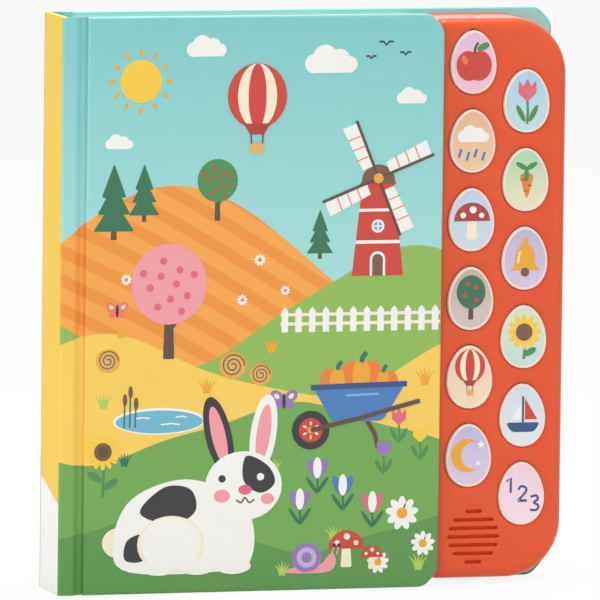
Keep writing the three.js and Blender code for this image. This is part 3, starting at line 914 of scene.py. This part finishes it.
def mushroom_icon(art):
    art.post(-6.5, 1.9, 0.5, 1.5, "cream", 1)
    art.shape(arc(0, -0.4, 6.2, 0, 180, 20), "brick", 1)
    art.dots([(-3.1, 1.6, 1.0), (0.3, 3.4, 1.2), (3.3, 1.5, 0.9)], "white", 2)


def tree_icon(art):
    art.post(-7, 0.9, 0, 0.7, "bark", 0.3)
    art.disc(0, 2.2, 5.0, "fern", 5.6, lift=1)
    art.dots([(-2.2, 1.2, 0.8), (1.8, 3.8, 0.8), (2.0, -0.6, 0.8), (-1.0, 5.0, 0.8)], "red", 2)


def balloon_icon(art):
    balloon(art.at(0, 2.2, 0.36))


def moon_icon(art):
    outer = arc(-0.6, 0, 5.6, 50, 310, 26)
    inner = arc(1.9, 0, 4.6, 300, 60, 22)
    art.shape(outer + inner, "gold")
    star(art.at(4.2, 3.6), 1.5, "white")
    star(art.at(3.2, -2.6), 1.1, "white")


def tulip_icon(art):
    tulip(art.at(0, -7.6, 0.68), "rose")


def carrot_icon(art):
    art.patch([(-2.7, 2.2), (0.3, -7), (2.9, 2.2)], "orange", 2.2)
    art.petals(0.1, 3.6, 3, 2.0, 2.2, "leaf", 30, 0.4, 1)
    for x0, y, x1 in ((-1.9, 0.2, -0.2), (0.6, -1.8, 1.9), (-0.9, -3.6, 0.3)):
        art.stroke([(x0, y), (x1, y - 0.2)], 0.45, "brick", 1)


def bell_icon(art):
    left = [(-5.4, -4.0), (-3.8, -2.2), (-3.2, 2.0), (-1.4, 4.6)]
    art.shape(smooth(left + [(-x, y) for x, y in left[::-1]]), "gold")
    art.disc(0, -4.6, 1.5, "brown", lift=1)
    art.disc(0, 5.6, 1.1, "gold")
    art.stroke([(-1.9, 2.4), (-2.5, -1.6)], 0.7, "cream", 1)


def sunflower_icon(art):
    art.stroke([(0, -1), (0.3, -4), (0, -7.4)], 1.0, "leaf")
    art.disc(2.2, -5.0, 2.3, "leaf", 1.1, 30, lift=1)
    art.petals(0, 1.6, 12, 4.0, 1.9, "yellow", 90, 0.5, 1)
    art.disc(0, 1.6, 2.9, "brown", lift=2)


def boat_icon(art):
    art.post(-2.4, 6, -5.6, 4, "navy", 1.4)
    art.stroke([(0, -2.4), (0, 6.4)], 0.7, "bark")
    art.shape([(0.7, -1.4), (5.0, -1.4), (0.7, 5.6)], "red", 1)
    art.shape([(-0.7, -1.4), (-0.7, 4.0), (-4.0, -1.4)], "white", 1)


def numbers_icon(art):
    """The plain numbers 1, 2 and 3 on steps."""
    one = [(-1.1, 1.5), (0.3, 2.6), (0.3, -2.2)]
    two = smooth([(-1.4, 1.4), (-0.4, 2.5), (1.1, 2.0), (1.0, 0.6), (-1.5, -2.1)]) + [(1.5, -2.1)]
    three = [(-1.3, 2.1), (0.6, 2.5), (1.1, 1.3), (-0.1, 0.3), (1.3, -0.7), (0.7, -2.1), (-1.4, -2.0)]
    for path, x, y in ((one, -4.2, 2.6), (two, 0.2, -0.2), (smooth(three), 4.4, -3.4)):
        art.at(x, y, 1.05).stroke(path, 0.75, "navy")


ICONS = [
    apple_icon, rain_icon, mushroom_icon, tree_icon, balloon_icon, moon_icon,
    tulip_icon, carrot_icon, bell_icon, sunflower_icon, boat_icon, numbers_icon,
]


# Motifs of the print, each drawn round its own foot or centre
def star(art, size, ink):
    points = []
    for i in range(10):
        reach = size if i % 2 == 0 else size * 0.45
        turn = math.radians(90 + 36 * i)
        points.append((reach * math.cos(turn), reach * math.sin(turn)))
    art.shape(points, ink, 1)


def cloud(art):
    for i, (x, y, r) in enumerate(((-8, 0, 4.6), (-2.6, 3.0, 6.0), (4.4, 1.8, 5.2), (9.4, -0.4, 3.8))):
        art.disc(x, y, r, "white", lift=i * 0.2)
    art.patch([(-11, -4.4), (11.6, -4.4), (11.6, -0.4), (-11, -0.4)], "white", 2, 1)


def balloon(art):
    for lift, (rx, ink) in enumerate(((14.5, "red"), (9.6, "cream"), (4.4, "red"))):
        art.disc(0, 4, rx, ink, 15.5, lift=lift)
    art.post(-9.0, 6.4, -14.2, 3.4, "brick", 0.8, 3)
    for x in (-3.0, 3.0):
        art.stroke([(x, -14), (x * 0.9, -18.6)], 0.5, "bark", 3)
    art.post(-18.2, 3.8, -23.4, 3.0, "tan", 1, 3)


def tulip(art, ink):
    art.stroke([(0, 0), (0.4, 6), (0, 12)], 1.2, "leaf")
    art.disc(3.2, 5.2, 4.6, "leaf", 1.3, 62, lift=1)
    art.disc(-3.2, 5.2, 4.6, "leaf", 1.3, 118, lift=1)
    tips = [(-4.4, 21.4), (-2.0, 18.2), (0, 22.4), (2.0, 18.2), (4.4, 21.4)]
    art.shape(soft_corners(tips + [(4.6, 15.0), (0, 11.0), (-4.6, 15.0)], 1.0), ink, 2)


def tuft(art, ink, size, blades=5):
    for i in range(blades):
        lean = (i - (blades - 1) / 2) / blades * 1.4
        tip = (lean * size, size * (1 - 0.35 * abs(lean)))
        art.stroke([(lean * 1.2, 0), (tip[0] * 0.5, tip[1] * 0.6), tip], 1.5, ink, taper=0.15)


def daisy(art, size, heart="gold"):
    art.petals(0, 0, 9, size * 0.62, size * 0.42, "white", 90, 0.55, 1)
    art.disc(0, 0, size * 0.34, heart, lift=2)


def sun(art):
    for i in range(12):
        turn = math.radians(30 * i)
        reach = [(r * math.cos(turn), r * math.sin(turn)) for r in (11.5, 15.0)]
        art.stroke(reach, 1.6, "gold", taper=0.5)
    art.disc(0, 0, 9.6, "yellow")


def birds(art):
    for x, y, size in ((0, 0, 3.4), (9, -4.5, 2.6), (-7, -6, 2.4)):
        wings = [(x - size, y + size * 0.45), (x - size * 0.4, y + size * 0.5), (x, y)]
        wings += [(x + size * 0.4, y + size * 0.5), (x + size, y + size * 0.45)]
        art.stroke(wings, 0.9, "black")


def fir(art):
    art.post(0, 1.5, 7, 1.2, "bark", 0.3)
    for i, (base, half, tip) in enumerate(((4, 10, 19), (12, 8, 27), (20, 6, 36))):
        art.patch([(-half, base), (half, base), (0, tip)], "fern", 1.2, 1 + i * 0.2)


def round_tree(art, crown, fruit):
    art.post(0, 1.9, 17, 1.3, "bark", 0.4)
    art.stroke([(0, 9), (3, 13), (5.5, 15)], 1.3, "bark", taper=0.6)
    art.disc(0, 25, 13, crown, 13.5, lift=1)
    for i in range(11):
        turn, reach = math.radians(137.5 * i), 3.1 * math.sqrt(i + 0.6)
        art.disc(reach * math.cos(turn), 25 + reach * math.sin(turn), 1.25, fruit, lift=2, steps=14)


def windmill(art):
    art.post(0, 12, 42, 7.4, "red", 0.8)
    for low, high in ((14.5, 16), (29, 30.3)):
        wide, narrow = (12 - 4.6 * v / 42 for v in (low, high))
        art.shape([(-wide, low), (wide, low), (narrow, high), (-narrow, high)], "white", 1)
    art.shape([(-3.6, 0), (3.6, 0)] + arc(0, 7.4, 3.6, 0, 180, 10), "white", 1)
    art.shape([(-2.5, 0), (2.5, 0)] + arc(0, 7.3, 2.5, 0, 180, 10), "brown", 2)
    art.disc(0, 22.4, 3.0, "white", lift=1)
    art.disc(0, 22.4, 2.1, "pond", lift=2)
    art.stroke([(-2.2, 22.4), (2.2, 22.4)], 0.6, "white", 3)
    art.stroke([(0, 20.2), (0, 24.6)], 0.6, "white", 3.2)
    art.shape([(-8.6, 41.4), (8.6, 41.4)] + arc(0, 42.4, 7.8, 0, 180, 16), "brown", 3)
    for turn in (22, 112, 202, 292):
        blade = [(6, 0.4), (27, 0.4), (27, 7.4), (6, 5.4)]
        art.shape(spun(blade, turn, 0, 44), "white", 4)
        for r in (11, 16, 21):
            art.stroke(spun([(r, 0.8), (r, 5.6 + r * 0.06)], turn, 0, 44), 0.55, "coral", 5)
        art.stroke(spun([(0, 0), (28, 0)], turn, 0, 44), 1.3, "bark", 6)
    art.disc(0, 44, 2.3, "gold", lift=7)


def fence(art, count, pitch=6.4, height=11.5):
    end = count * pitch - 4
    for low in (3.0, 7.2):
        art.shape([(-2, low), (end, low), (end, low + 1.5), (-2, low + 1.5)], "cream")
    for i in range(count):
        x = i * pitch
        shoulder = height - 1.8
        picket = [(x - 1.5, 0), (x + 1.5, 0), (x + 1.5, shoulder), (x, height), (x - 1.5, shoulder)]
        art.shape(picket, "white", 1)


def pumpkin(art, size):
    for x in (-0.52, 0.52):
        art.disc(x * size, size * 0.78, size * 0.55, "orange", size * 0.76, lift=x * 0.2)
    art.disc(0, size * 0.8, size * 0.46, "gold", size * 0.8, lift=1)
    stalk = [(0, size * 1.45), (0.06 * size, size * 1.7), (0.25 * size, size * 1.95)]
    art.stroke(stalk, 0.24 * size, "fern", 2)


def wheelbarrow(art):
    for x, y, size in ((-5, 24, 7.5), (16, 24, 6.5), (6, 25, 9)):
        pumpkin(art.at(x, y, level=2), size)
    art.stroke([(9, 12), (12.5, 6), (14, 0)], 2.0, "bark", 2)
    art.disc(-17, 8.4, 8.6, "black", lift=3)
    art.disc(-17, 8.4, 5.4, "red", lift=4)
    art.petals(-17, 8.4, 6, 3.1, 0.9, "cream", lift=5)
    art.disc(-17, 8.4, 1.5, "gold", lift=6)
    art.stroke([(-17, 8.4), (4, 13), (33, 20.5)], 2.0, "bark", 7)
    art.patch([(-16, 27), (26, 28), (16, 12), (-7, 12)], "blue", 2.2, 5)
    art.stroke([(-17, 27.2), (5, 27.8), (27, 28.2)], 2.4, "navy", 6)
    art.stroke([(-1, 23.5), (14, 24)], 1.0, "pond", 6)


def bale(art, size):
    art.disc(0, size, size, "gold", size * 0.96)
    art.disc(0, size, size * 0.84, "tan", size * 0.8, lift=1)
    spiral = []
    for i in range(34):
        reach, turn = size * 0.86 * (1 - i / 38), math.radians(26 * i)
        spiral.append((reach * math.cos(turn), size + reach * math.sin(turn)))
    art.stroke(spiral, size * 0.1, "brown", 2)


def pond(art):
    art.disc(0, 0, 25, "white", 7.0)
    art.disc(0, -0.3, 23.6, "pond", 6.0, lift=1)
    for x, y, half in ((-9, 1.6, 4), (6, -1.8, 5), (12, 2.0, 3)):
        art.stroke([(x - half, y), (x, y + 0.5), (x + half, y)], 0.7, "white", 2)
    for x, height in ((-19, 15), (-16, 19), (-13, 13)):
        art.stroke([(x, -3), (x + 0.3, height - 5)], 0.8, "fern", 3)
        art.disc(x + 0.4, height - 3.5, 1.2, "brown", 3.2, lift=4)


def rabbit(art):
    def blob(outline, ink, lift):
        art.shape(smooth(outline, closed=True), ink, lift)

    art.disc(-31, 12, 6.5, "cream", 6.0)
    blob([(-26, 0), (-33, 12), (-26, 29), (-6, 37), (12, 33), (24, 22), (25, 6), (16, 0)], "white", 1)
    blob([(-22, 24), (-12, 34), (-1, 33), (1, 24), (-9, 19)], "black", 2)
    blob([(-27, 13), (-19, 15), (-20, 5), (-28, 5)], "black", 2)
    art.disc(-9, 11, 14, "cream", 11.5, lift=2)
    art.disc(-9, 11.4, 12.6, "white", 10.4, lift=3)
    for x, turn, outer in ((14, 104, "black"), (27, 82, "white")):
        c, s = math.cos(math.radians(turn)), math.sin(math.radians(turn))
        art.disc(x + 15 * c, 40 + 15 * s, 16, outer, 5.4, turn, lift=4)
        art.disc(x + 15 * c, 40 + 15 * s, 12, "pink", 2.9, turn, lift=5)
    art.disc(21, 34, 16, "white", 14, lift=6)
    blob([(22, 46), (31, 42), (34, 35), (28, 31), (21, 36)], "black", 7)
    art.dots([(28, 37.5, 1.5)], "white", 8)
    art.dots([(12, 37, 1.5)], "black", 8)
    art.disc(12, 30, 3.4, "pink", 2.6, lift=7)
    art.disc(31, 28.6, 2.8, "pink", 2.2, lift=8)
    art.disc(21.6, 32.4, 2.8, "rose", 2.0, lift=8)
    mouth = smooth([(18, 28.4), (20, 27.2), (21.6, 29.2), (23.4, 27.2), (25.4, 28.4)])
    art.stroke(mouth, 0.7, "brown", 8)
    for x in (-14, 2, 17):
        art.disc(x, 1.6, 7.4, "white", 3.2, lift=7)


def snail(art):
    foot = [(-9, 0), (8, 0), (12, 4), (10.5, 8), (8, 6), (5, 3.4), (-8, 1.8)]
    art.shape(smooth(foot, closed=True), "pink")
    art.disc(-0.5, 6.2, 6.4, "violet", 6.0, lift=1)
    art.disc(-0.5, 6.2, 4.2, "lilac", lift=2)
    art.disc(-0.5, 6.2, 2.2, "violet", lift=3)
    for x in (10.2, 12.2):
        art.stroke([(x, 7), (x + 0.9, 10.6)], 0.6, "pink", 2)
        art.disc(x + 1, 11, 0.8, "black", lift=3)


def toadstool(art):
    art.post(0, 2.2, 8, 1.6, "cream", 1)
    art.shape(arc(0, 7, 7, 0, 180, 18), "red", 1)
    art.dots([(-3.6, 9.3, 1.0), (0.2, 11.6, 1.2), (3.8, 9.2, 0.9)], "white", 2)


def crocus(art, ink):
    art.stroke([(0, 0), (0.2, 3), (0, 6)], 0.9, "fern")
    for lean in (-26, 26, 0):
        tip = spun([(0, 4.4)], -lean, 0, 6)[0]
        art.disc(*tip, 4.4, ink if lean else "white", 1.8, 90 - lean, lift=1 if lean else 2)
    for lean in (-35, 35):
        tip = spun([(0, 4)], -lean)[0]
        art.disc(*tip, 4.2, "fern", 0.8, 90 - lean, lift=1)


def sunflower(art):
    art.stroke([(0, 0), (0.5, 10), (0, 22)], 1.5, "leaf")
    for side, height in ((1, 7), (-1, 11)):
        art.disc(side * 4.2, height, 4.6, "leaf", 2.0, 90 - side * 58, lift=1)
    art.petals(0, 24, 14, 6.6, 3.0, "yellow", slim=0.45, lift=1)
    art.disc(0, 24, 4.8, "brown", lift=2)
    art.disc(0, 24, 2.8, "bark", lift=3)


def butterfly(art, ink):
    for side in (-1, 1):
        art.disc(side * 2.9, 1.8, 3.2, ink, 2.3, side * 40)
        art.disc(side * 2.2, -1.6, 2.2, ink, 1.7, -side * 30, lift=0.4)
        art.disc(side * 3.1, 2.0, 1.3, "cream", 0.9, side * 40, lift=1)
    art.disc(0, 0, 0.7, "black", 3.2, lift=2)


def scatter(page, motif, places, *more):
    """One motif at several places: distance from the spine, height, and if need be scale and level."""
    for place in places:
        motif(page.at(*place), *more)


def scatter_each(page, motif, rows, *size):
    """One motif at several places, each row giving the place and then what the motif takes."""
    for x, z, *more in rows:
        motif(page.at(x, z, *size), *more)


def cover_print():
    """A made-up countryside, placed by distance from the spine and height above the foot."""
    piece = Piece("cover_print")
    page = Print(piece, FRONT_Y, SPINE_X, 0)
    sun(page.at(36, 231))
    scatter(page, cloud, ((66, 245, 0.72), (124, 238, 0.95), (162, 222, 0.55), (26, 203, 0.5)))
    balloon(page.at(90, 220, 0.95, 8))
    birds(page.at(150, 246))
    scatter(page, fir, ((24, 160, 0.95), (38, 168, 0.72), (120, 150, 0.62)))
    round_tree(page.at(72, 168, 0.72), "leaf", "red")
    windmill(page.at(147, 142, 1.0, 3))
    fence(page.at(104, 117), 12)
    round_tree(page.at(50, 106, 1.35, 4), "pink", "rose")
    scatter_each(page, bale, ((80, 96, 6.4), (93, 93, 5.2), (22, 100, 5.6)))
    wheelbarrow(page.at(134, 64, 1.02, 2))
    pond(page.at(46, 78, 0.86))
    rabbit(page.at(62, 10, 1.12, 2))
    scatter_each(page, tulip, ((158, 66, "rose"), (168, 58, "yellow"), (151, 52, "violet")), 0.72, 2)
    sunflower(page.at(20, 44, 0.86))
    crocuses = ((120, 44, "violet"), (132, 36, "blue"), (112, 30, "violet"), (146, 28, "rose"))
    scatter_each(page, crocus, crocuses, 1.1)
    scatter_each(page, daisy, ((160, 34, 7.5), (170, 20, 5.5), (149, 12, 5.0)))
    scatter(page, toadstool, ((134, 10, 1.2), (146, 9, 0.75, 3)))
    snail(page.at(116, 8, 1.1))
    scatter_each(page, tuft, (
        (20, 84, "lime", 7), (96, 74, "lime", 6), (170, 92, "gold", 8), (100, 54, "lime", 6),
        (154, 88, "fern", 6), (68, 90, "gold", 7), (128, 22, "lime", 7), (168, 8, "lime", 8),
        (104, 7, "lime", 6), (28, 116, "gold", 6), (98, 108, "gold", 6), (30, 58, "fern", 6),
    ))
    butterfly(page.at(104, 86, 1.1), "violet")
    butterfly(page.at(26, 128, 0.9), "coral")
    small = ((92, 150, 2.6, "coral"), (104, 136, 2.2, "coral"), (84, 132, 2.4, "coral"))
    scatter_each(page, daisy, small + ((30, 142, 2.4, "coral"),))
    piece.make("front")


PAGE = (16, 163, 14, 246)  # left, right, foot and head of a page's picture
PAGE_CORNER = 5
FIRST_PAGE = {"sky": "pond", "far": "lime", "near": "leaf"}
LAST_PAGE = {"sky": "navy", "far": "leaf", "near": "fern"}


def by_day(page):
    sun(page.at(132, 214, level=2))
    scatter(page, cloud, ((56, 216, 1.1, 2), (98, 190, 0.7, 2)))
    round_tree(page.at(54, 78, 1.9, 4), "fern", "red")
    fence(page.at(92, 74, 1.0, 4), 10)
    bale(page.at(136, 44, level=5), 10)


def by_night(page):
    moon_icon(page.at(128, 210, 2.4, 2))
    stars = ((40, 226, 2.4), (70, 200, 1.8), (98, 232, 2.0), (32, 186, 1.6), (104, 184, 2.2))
    scatter_each(page, star, [(*spot, "cream") for spot in stars])
    scatter(page, fir, ((46, 84, 1.6, 3), (74, 78, 1.2, 3), (130, 76, 1.4, 3)))
    toadstool(page.at(138, 34, 1.8, 5))


def page_print(name, face, out, inks, scene):
    """A bordered meadow on the first or the last page."""
    piece = Piece(name)
    page = Print(piece, face, SPINE_X, 0, out=out)
    page.shape(rounded_rect(*PAGE, PAGE_CORNER, PAGE_CORNER), inks["sky"], -0.6)
    ground = [(16.0, 20.0), (20.0, 14.0), (159.0, 14.0), (163.0, 20.0)]
    far = smooth([(16, 96), (50, 108), (96, 92), (134, 104), (163, 92)])
    near = smooth([(16, 48), (60, 62), (110, 46), (163, 58)])
    page.shape(ground + far[::-1], inks["far"])
    page.shape(ground + near[::-1], inks["near"], 1)
    scene(page)
    pumpkin(page.at(112, 32, level=5), 11)
    tulips = ((30, 30, "rose"), (44, 24, "yellow"), (60, 32, "violet"), (150, 24, "rose"))
    scatter_each(page, tulip, tulips, 0.8, 5)
    scatter(page, tuft, ((76, 24, 1.0, 5), (92, 28, 1.0, 5), (24, 20, 1.0, 5)), "lime", 8)
    piece.make("leaves")


def back_print():
    """The back cover's few motifs, clear of the battery window."""
    piece = Piece("back_print")
    page = Print(piece, BACK_Y, SPINE_X, 0, out=-1)
    sun(page.at(140, 222))
    scatter(page, cloud, ((60, 236, 0.9), (104, 212, 0.6), (216, 236, 0.7)))
    scatter(page, fir, ((30, 172, 1.0), (46, 178, 0.75), (150, 150, 0.9)))
    round_tree(page.at(84, 118, 1.2, 3), "pink", "rose")
    fence(page.at(104, 96), 11)
    scatter_each(page, bale, ((62, 88, 7.0), (30, 92, 5.6)))
    tulips = ((36, 26, "rose"), (50, 20, "yellow"), (64, 28, "violet"), (170, 24, "rose"))
    scatter_each(page, tulip, tulips, 0.9)
    scatter(page, toadstool, ((120, 20, 1.4), (133, 18, 0.9, 3)))
    tufts = ((90, 30, "lime", 8), (150, 50, "lime", 8), (212, 30, "lime", 8), (188, 60, "fern", 8))
    scatter_each(page, tuft, tufts)
    piece.make("back")


# Battery door
def battery_door():
    """The door seen through the back board's window, with a softened rim and grip ribs."""
    piece = Piece("battery_door_fine")
    (x0, inner, z0), (x1, outer, z1) = DOOR_LOW, DOOR_HIGH
    hole = circle(*middle_of("battery_door_screw"), DOOR_HOLE)
    orange = (PANEL_ORANGE,) * 3
    outline = rounded_rect(x0, x1, z0, z1, DOOR_CORNER, DOOR_CORNER, 6)
    slab(piece, outline, outer, inner, DOOR_EDGE, orange, holes=[hole], flat=0.4)
    middle = (x0 + x1) / 2
    for i in range(RIB_COUNT):
        z = z0 + RIB_RISE + RIB_PITCH * i
        box = (middle - RIB_HALF_LENGTH, middle + RIB_HALF_LENGTH, z - RIB_HALF_HEIGHT, z + RIB_HALF_HEIGHT)
        rib = rounded_rect(*box, RIB_CORNER, RIB_CORNER, 4)
        slab(piece, rib, outer + RIB_PROUD, outer - OVERLAP, RIB_EDGE, orange, flat=0.1, steps=3)
    piece.make("back", "battery_door")


def door_screw():
    """The door's screw, with a cross recess."""
    piece = Piece("door_screw")
    sx, sz = middle_of("battery_door_screw")
    low, high = box_mm("battery_door_screw")
    tip, head = low[1], high[1]
    cross = [(CROSS_HALF, CROSS_HALF), (CROSS_HALF, CROSS_ARM), (-CROSS_HALF, CROSS_ARM)]
    for _ in range(3):
        cross += [(-v, u) for u, v in cross[-3:]]
    cross = [(sx + u, sz + v) for u, v in cross]
    rings = [piece.ring(circle(sx, sz, radius), head - drop) for radius, drop in HEAD_RIM]
    piece.rings(rings, STEEL)
    piece.cap([rings[0]], STEEL)
    near = piece.ring(cross, head)
    far = piece.ring(cross, head - CROSS_DEPTH)
    piece.band(near, far, STEEL)
    piece.cap([rings[-1], near], STEEL)
    piece.cap([far], STEEL)
    piece.prism(circle(sx, sz, SHANK_RADIUS, 32), tip, head - SHANK_DROP, STEEL)
    piece.make("back", "battery_door_screw")


def finish_carried_nodes():
    """Finishes for the construction pieces that keep their own shape."""
    steel = ["speaker_frame", "battery_contact_end", "battery_contact_link", "door_contact_link"]
    steel += [f"button_cell_{i + 1}" for i in range(3)]
    steel += [f"case_screw_{i + 1}" for i in range(BOSS_COUNT)]
    finishes = [
        (CARD_EDGES, ["page_block"]),
        (PANEL_ORANGE, ["module_rear_plate"]),
        (RUBBER, ["rubber_keypad"]),
        (CIRCUIT, ["circuit_board"]),
        (RESIN, ["sound_chip"]),
        (CONE_PAPER, ["speaker_cone"]),
        (MAGNET, ["speaker_magnet"]),
        (WIRE_RED, ["speaker_wire_1", "battery_wire_1"]),
        (WIRE_BLACK, ["speaker_wire_2", "battery_wire_2"]),
        (STEEL, steel),
    ]
    for material, nodes in finishes:
        for node in nodes:
            holder = bpy.data.objects[node]
            for slot in holder.material_slots:
                slot.material = material
            if not holder.material_slots:
                holder.data.materials.append(material)


# Camera, light and ground
CAMERA = {
    "target": (-3.2, -1.5, 129.8),
    "distance": 5000.0,
    "yaw": 16.0,
    "pitch": 6.0,
    "roll": 0.68,
    "lens": 665.5,
}
BOOK_MIDDLE = (0, 0, 0.13)
WORLD_LIGHT = 0.38
FLOOR_SIZE = 14
FLOOR_MATTE = (0.9, 0.9, 0.9, 1)
FLOOR_WHITE = 0.9  # how much of the floor's look is plain white; the rest takes the shadow


def camera():
    yaw, pitch, roll = (math.radians(CAMERA[key]) for key in ("yaw", "pitch", "roll"))
    forward = Vector((math.sin(yaw) * math.cos(pitch), math.cos(yaw) * math.cos(pitch), -math.sin(pitch)))
    right = Vector((math.cos(yaw), -math.sin(yaw), 0))
    up = right.cross(forward)
    turned_right = math.cos(roll) * right + math.sin(roll) * up
    turned_up = -math.sin(roll) * right + math.cos(roll) * up
    lens = bpy.data.cameras.new("camera")
    lens.lens = CAMERA["lens"]
    lens.sensor_width = 36
    lens.clip_end = 20
    body = bpy.data.objects.new("camera", lens)
    bpy.context.collection.objects.link(body)
    place = (Vector(CAMERA["target"]) - forward * CAMERA["distance"]) * MM
    rotation = Matrix((turned_right, turned_up, -forward)).transposed().to_4x4()
    body.matrix_world = Matrix.Translation(place) @ rotation
    bpy.context.scene.camera = body


def area_light(name, place, size, power):
    """A round soft lamp that looks at the book's middle."""
    lamp = bpy.data.lights.new(name, "AREA")
    lamp.shape = "DISK"
    lamp.size = size
    lamp.energy = power
    holder = bpy.data.objects.new(name, lamp)
    bpy.context.collection.objects.link(holder)
    holder.location = place
    aim = Vector(BOOK_MIDDLE) - Vector(place)
    holder.rotation_euler = aim.to_track_quat("-Z", "Y").to_euler()


def surround(tree, output, lit, white, share):
    """Gives the camera, reflections and what shines through the white shader, and light the other."""
    graph = Graph(tree)
    graph.nodes.clear()
    rays = graph.add("LightPath").outputs
    seen = graph.calc("MAXIMUM", rays["Is Camera Ray"], rays["Is Glossy Ray"])
    seen = graph.calc("MAXIMUM", seen, rays["Is Transmission Ray"])
    shaders = [graph.add(kind, inputs).outputs[0] for kind, inputs in (lit, white)]
    mix = graph.add("MixShader", {0: graph.calc("MULTIPLY", seen, share), 1: shaders[0], 2: shaders[1]})
    graph.feed(graph.add(output).inputs["Surface"], mix.outputs[0])


def studio():
    scene = bpy.context.scene
    scene.view_settings.view_transform = "Standard"
    world = bpy.data.worlds.new("studio_world")
    world.use_nodes = True
    scene.world = world
    white = (1, 1, 1, 1)
    lit = ("Background", {"Color": white, "Strength": WORLD_LIGHT})
    seen = ("Background", {"Color": white, "Strength": 1.0})
    surround(world.node_tree, "OutputWorld", lit, seen, 1.0)

    area_light("key_light", (-0.8, -1.25, 1.2), 0.9, 8.0)
    area_light("left_light", (-1.7, -0.35, 0.5), 0.8, 5.4)
    area_light("fill_light", (0.9, -1.3, 0.2), 1.2, 3.2)
    area_light("top_light", (0.1, 0.0, 1.6), 0.6, 14)
    area_light("rear_light", (0.3, 1.6, 1.2), 1.4, 8)

    bpy.ops.mesh.primitive_plane_add(size=FLOOR_SIZE, location=(0, 0, 0))
    floor = bpy.context.object
    floor.name = "floor"
    material = bpy.data.materials.new("floor_white")
    material.use_nodes = True
    matte = ("BsdfDiffuse", {"Color": FLOOR_MATTE})
    surround(material.node_tree, "OutputMaterial", matte, ("Emission", {"Strength": 1.0}), FLOOR_WHITE)
    floor.data.materials.append(material)


camera()
studio()
board("front_board", "front", "front_cover", FRONT_Y, FRONT_Y + BOARD, FRONT_HIGH[0])
cover_print()
board("back_board", "back", "back_cover", BACK_Y, BACK_Y - BOARD, BACK_HIGH[0], [door_window()])
spine_board()
hinge_skin("front_hinge_skin", -1)
hinge_skin("back_hinge_skin", 1)
panel_shell()
for number in range(1, KEY_COUNT + 1):
    key_cap(number)
battery_door()
door_screw()
page_print("first_page_print", PAGES_LOW[1], 1, FIRST_PAGE, by_day)
page_print("last_page_print", PAGES_HIGH[1], -1, LAST_PAGE, by_night)
back_print()
finish_carried_nodes()
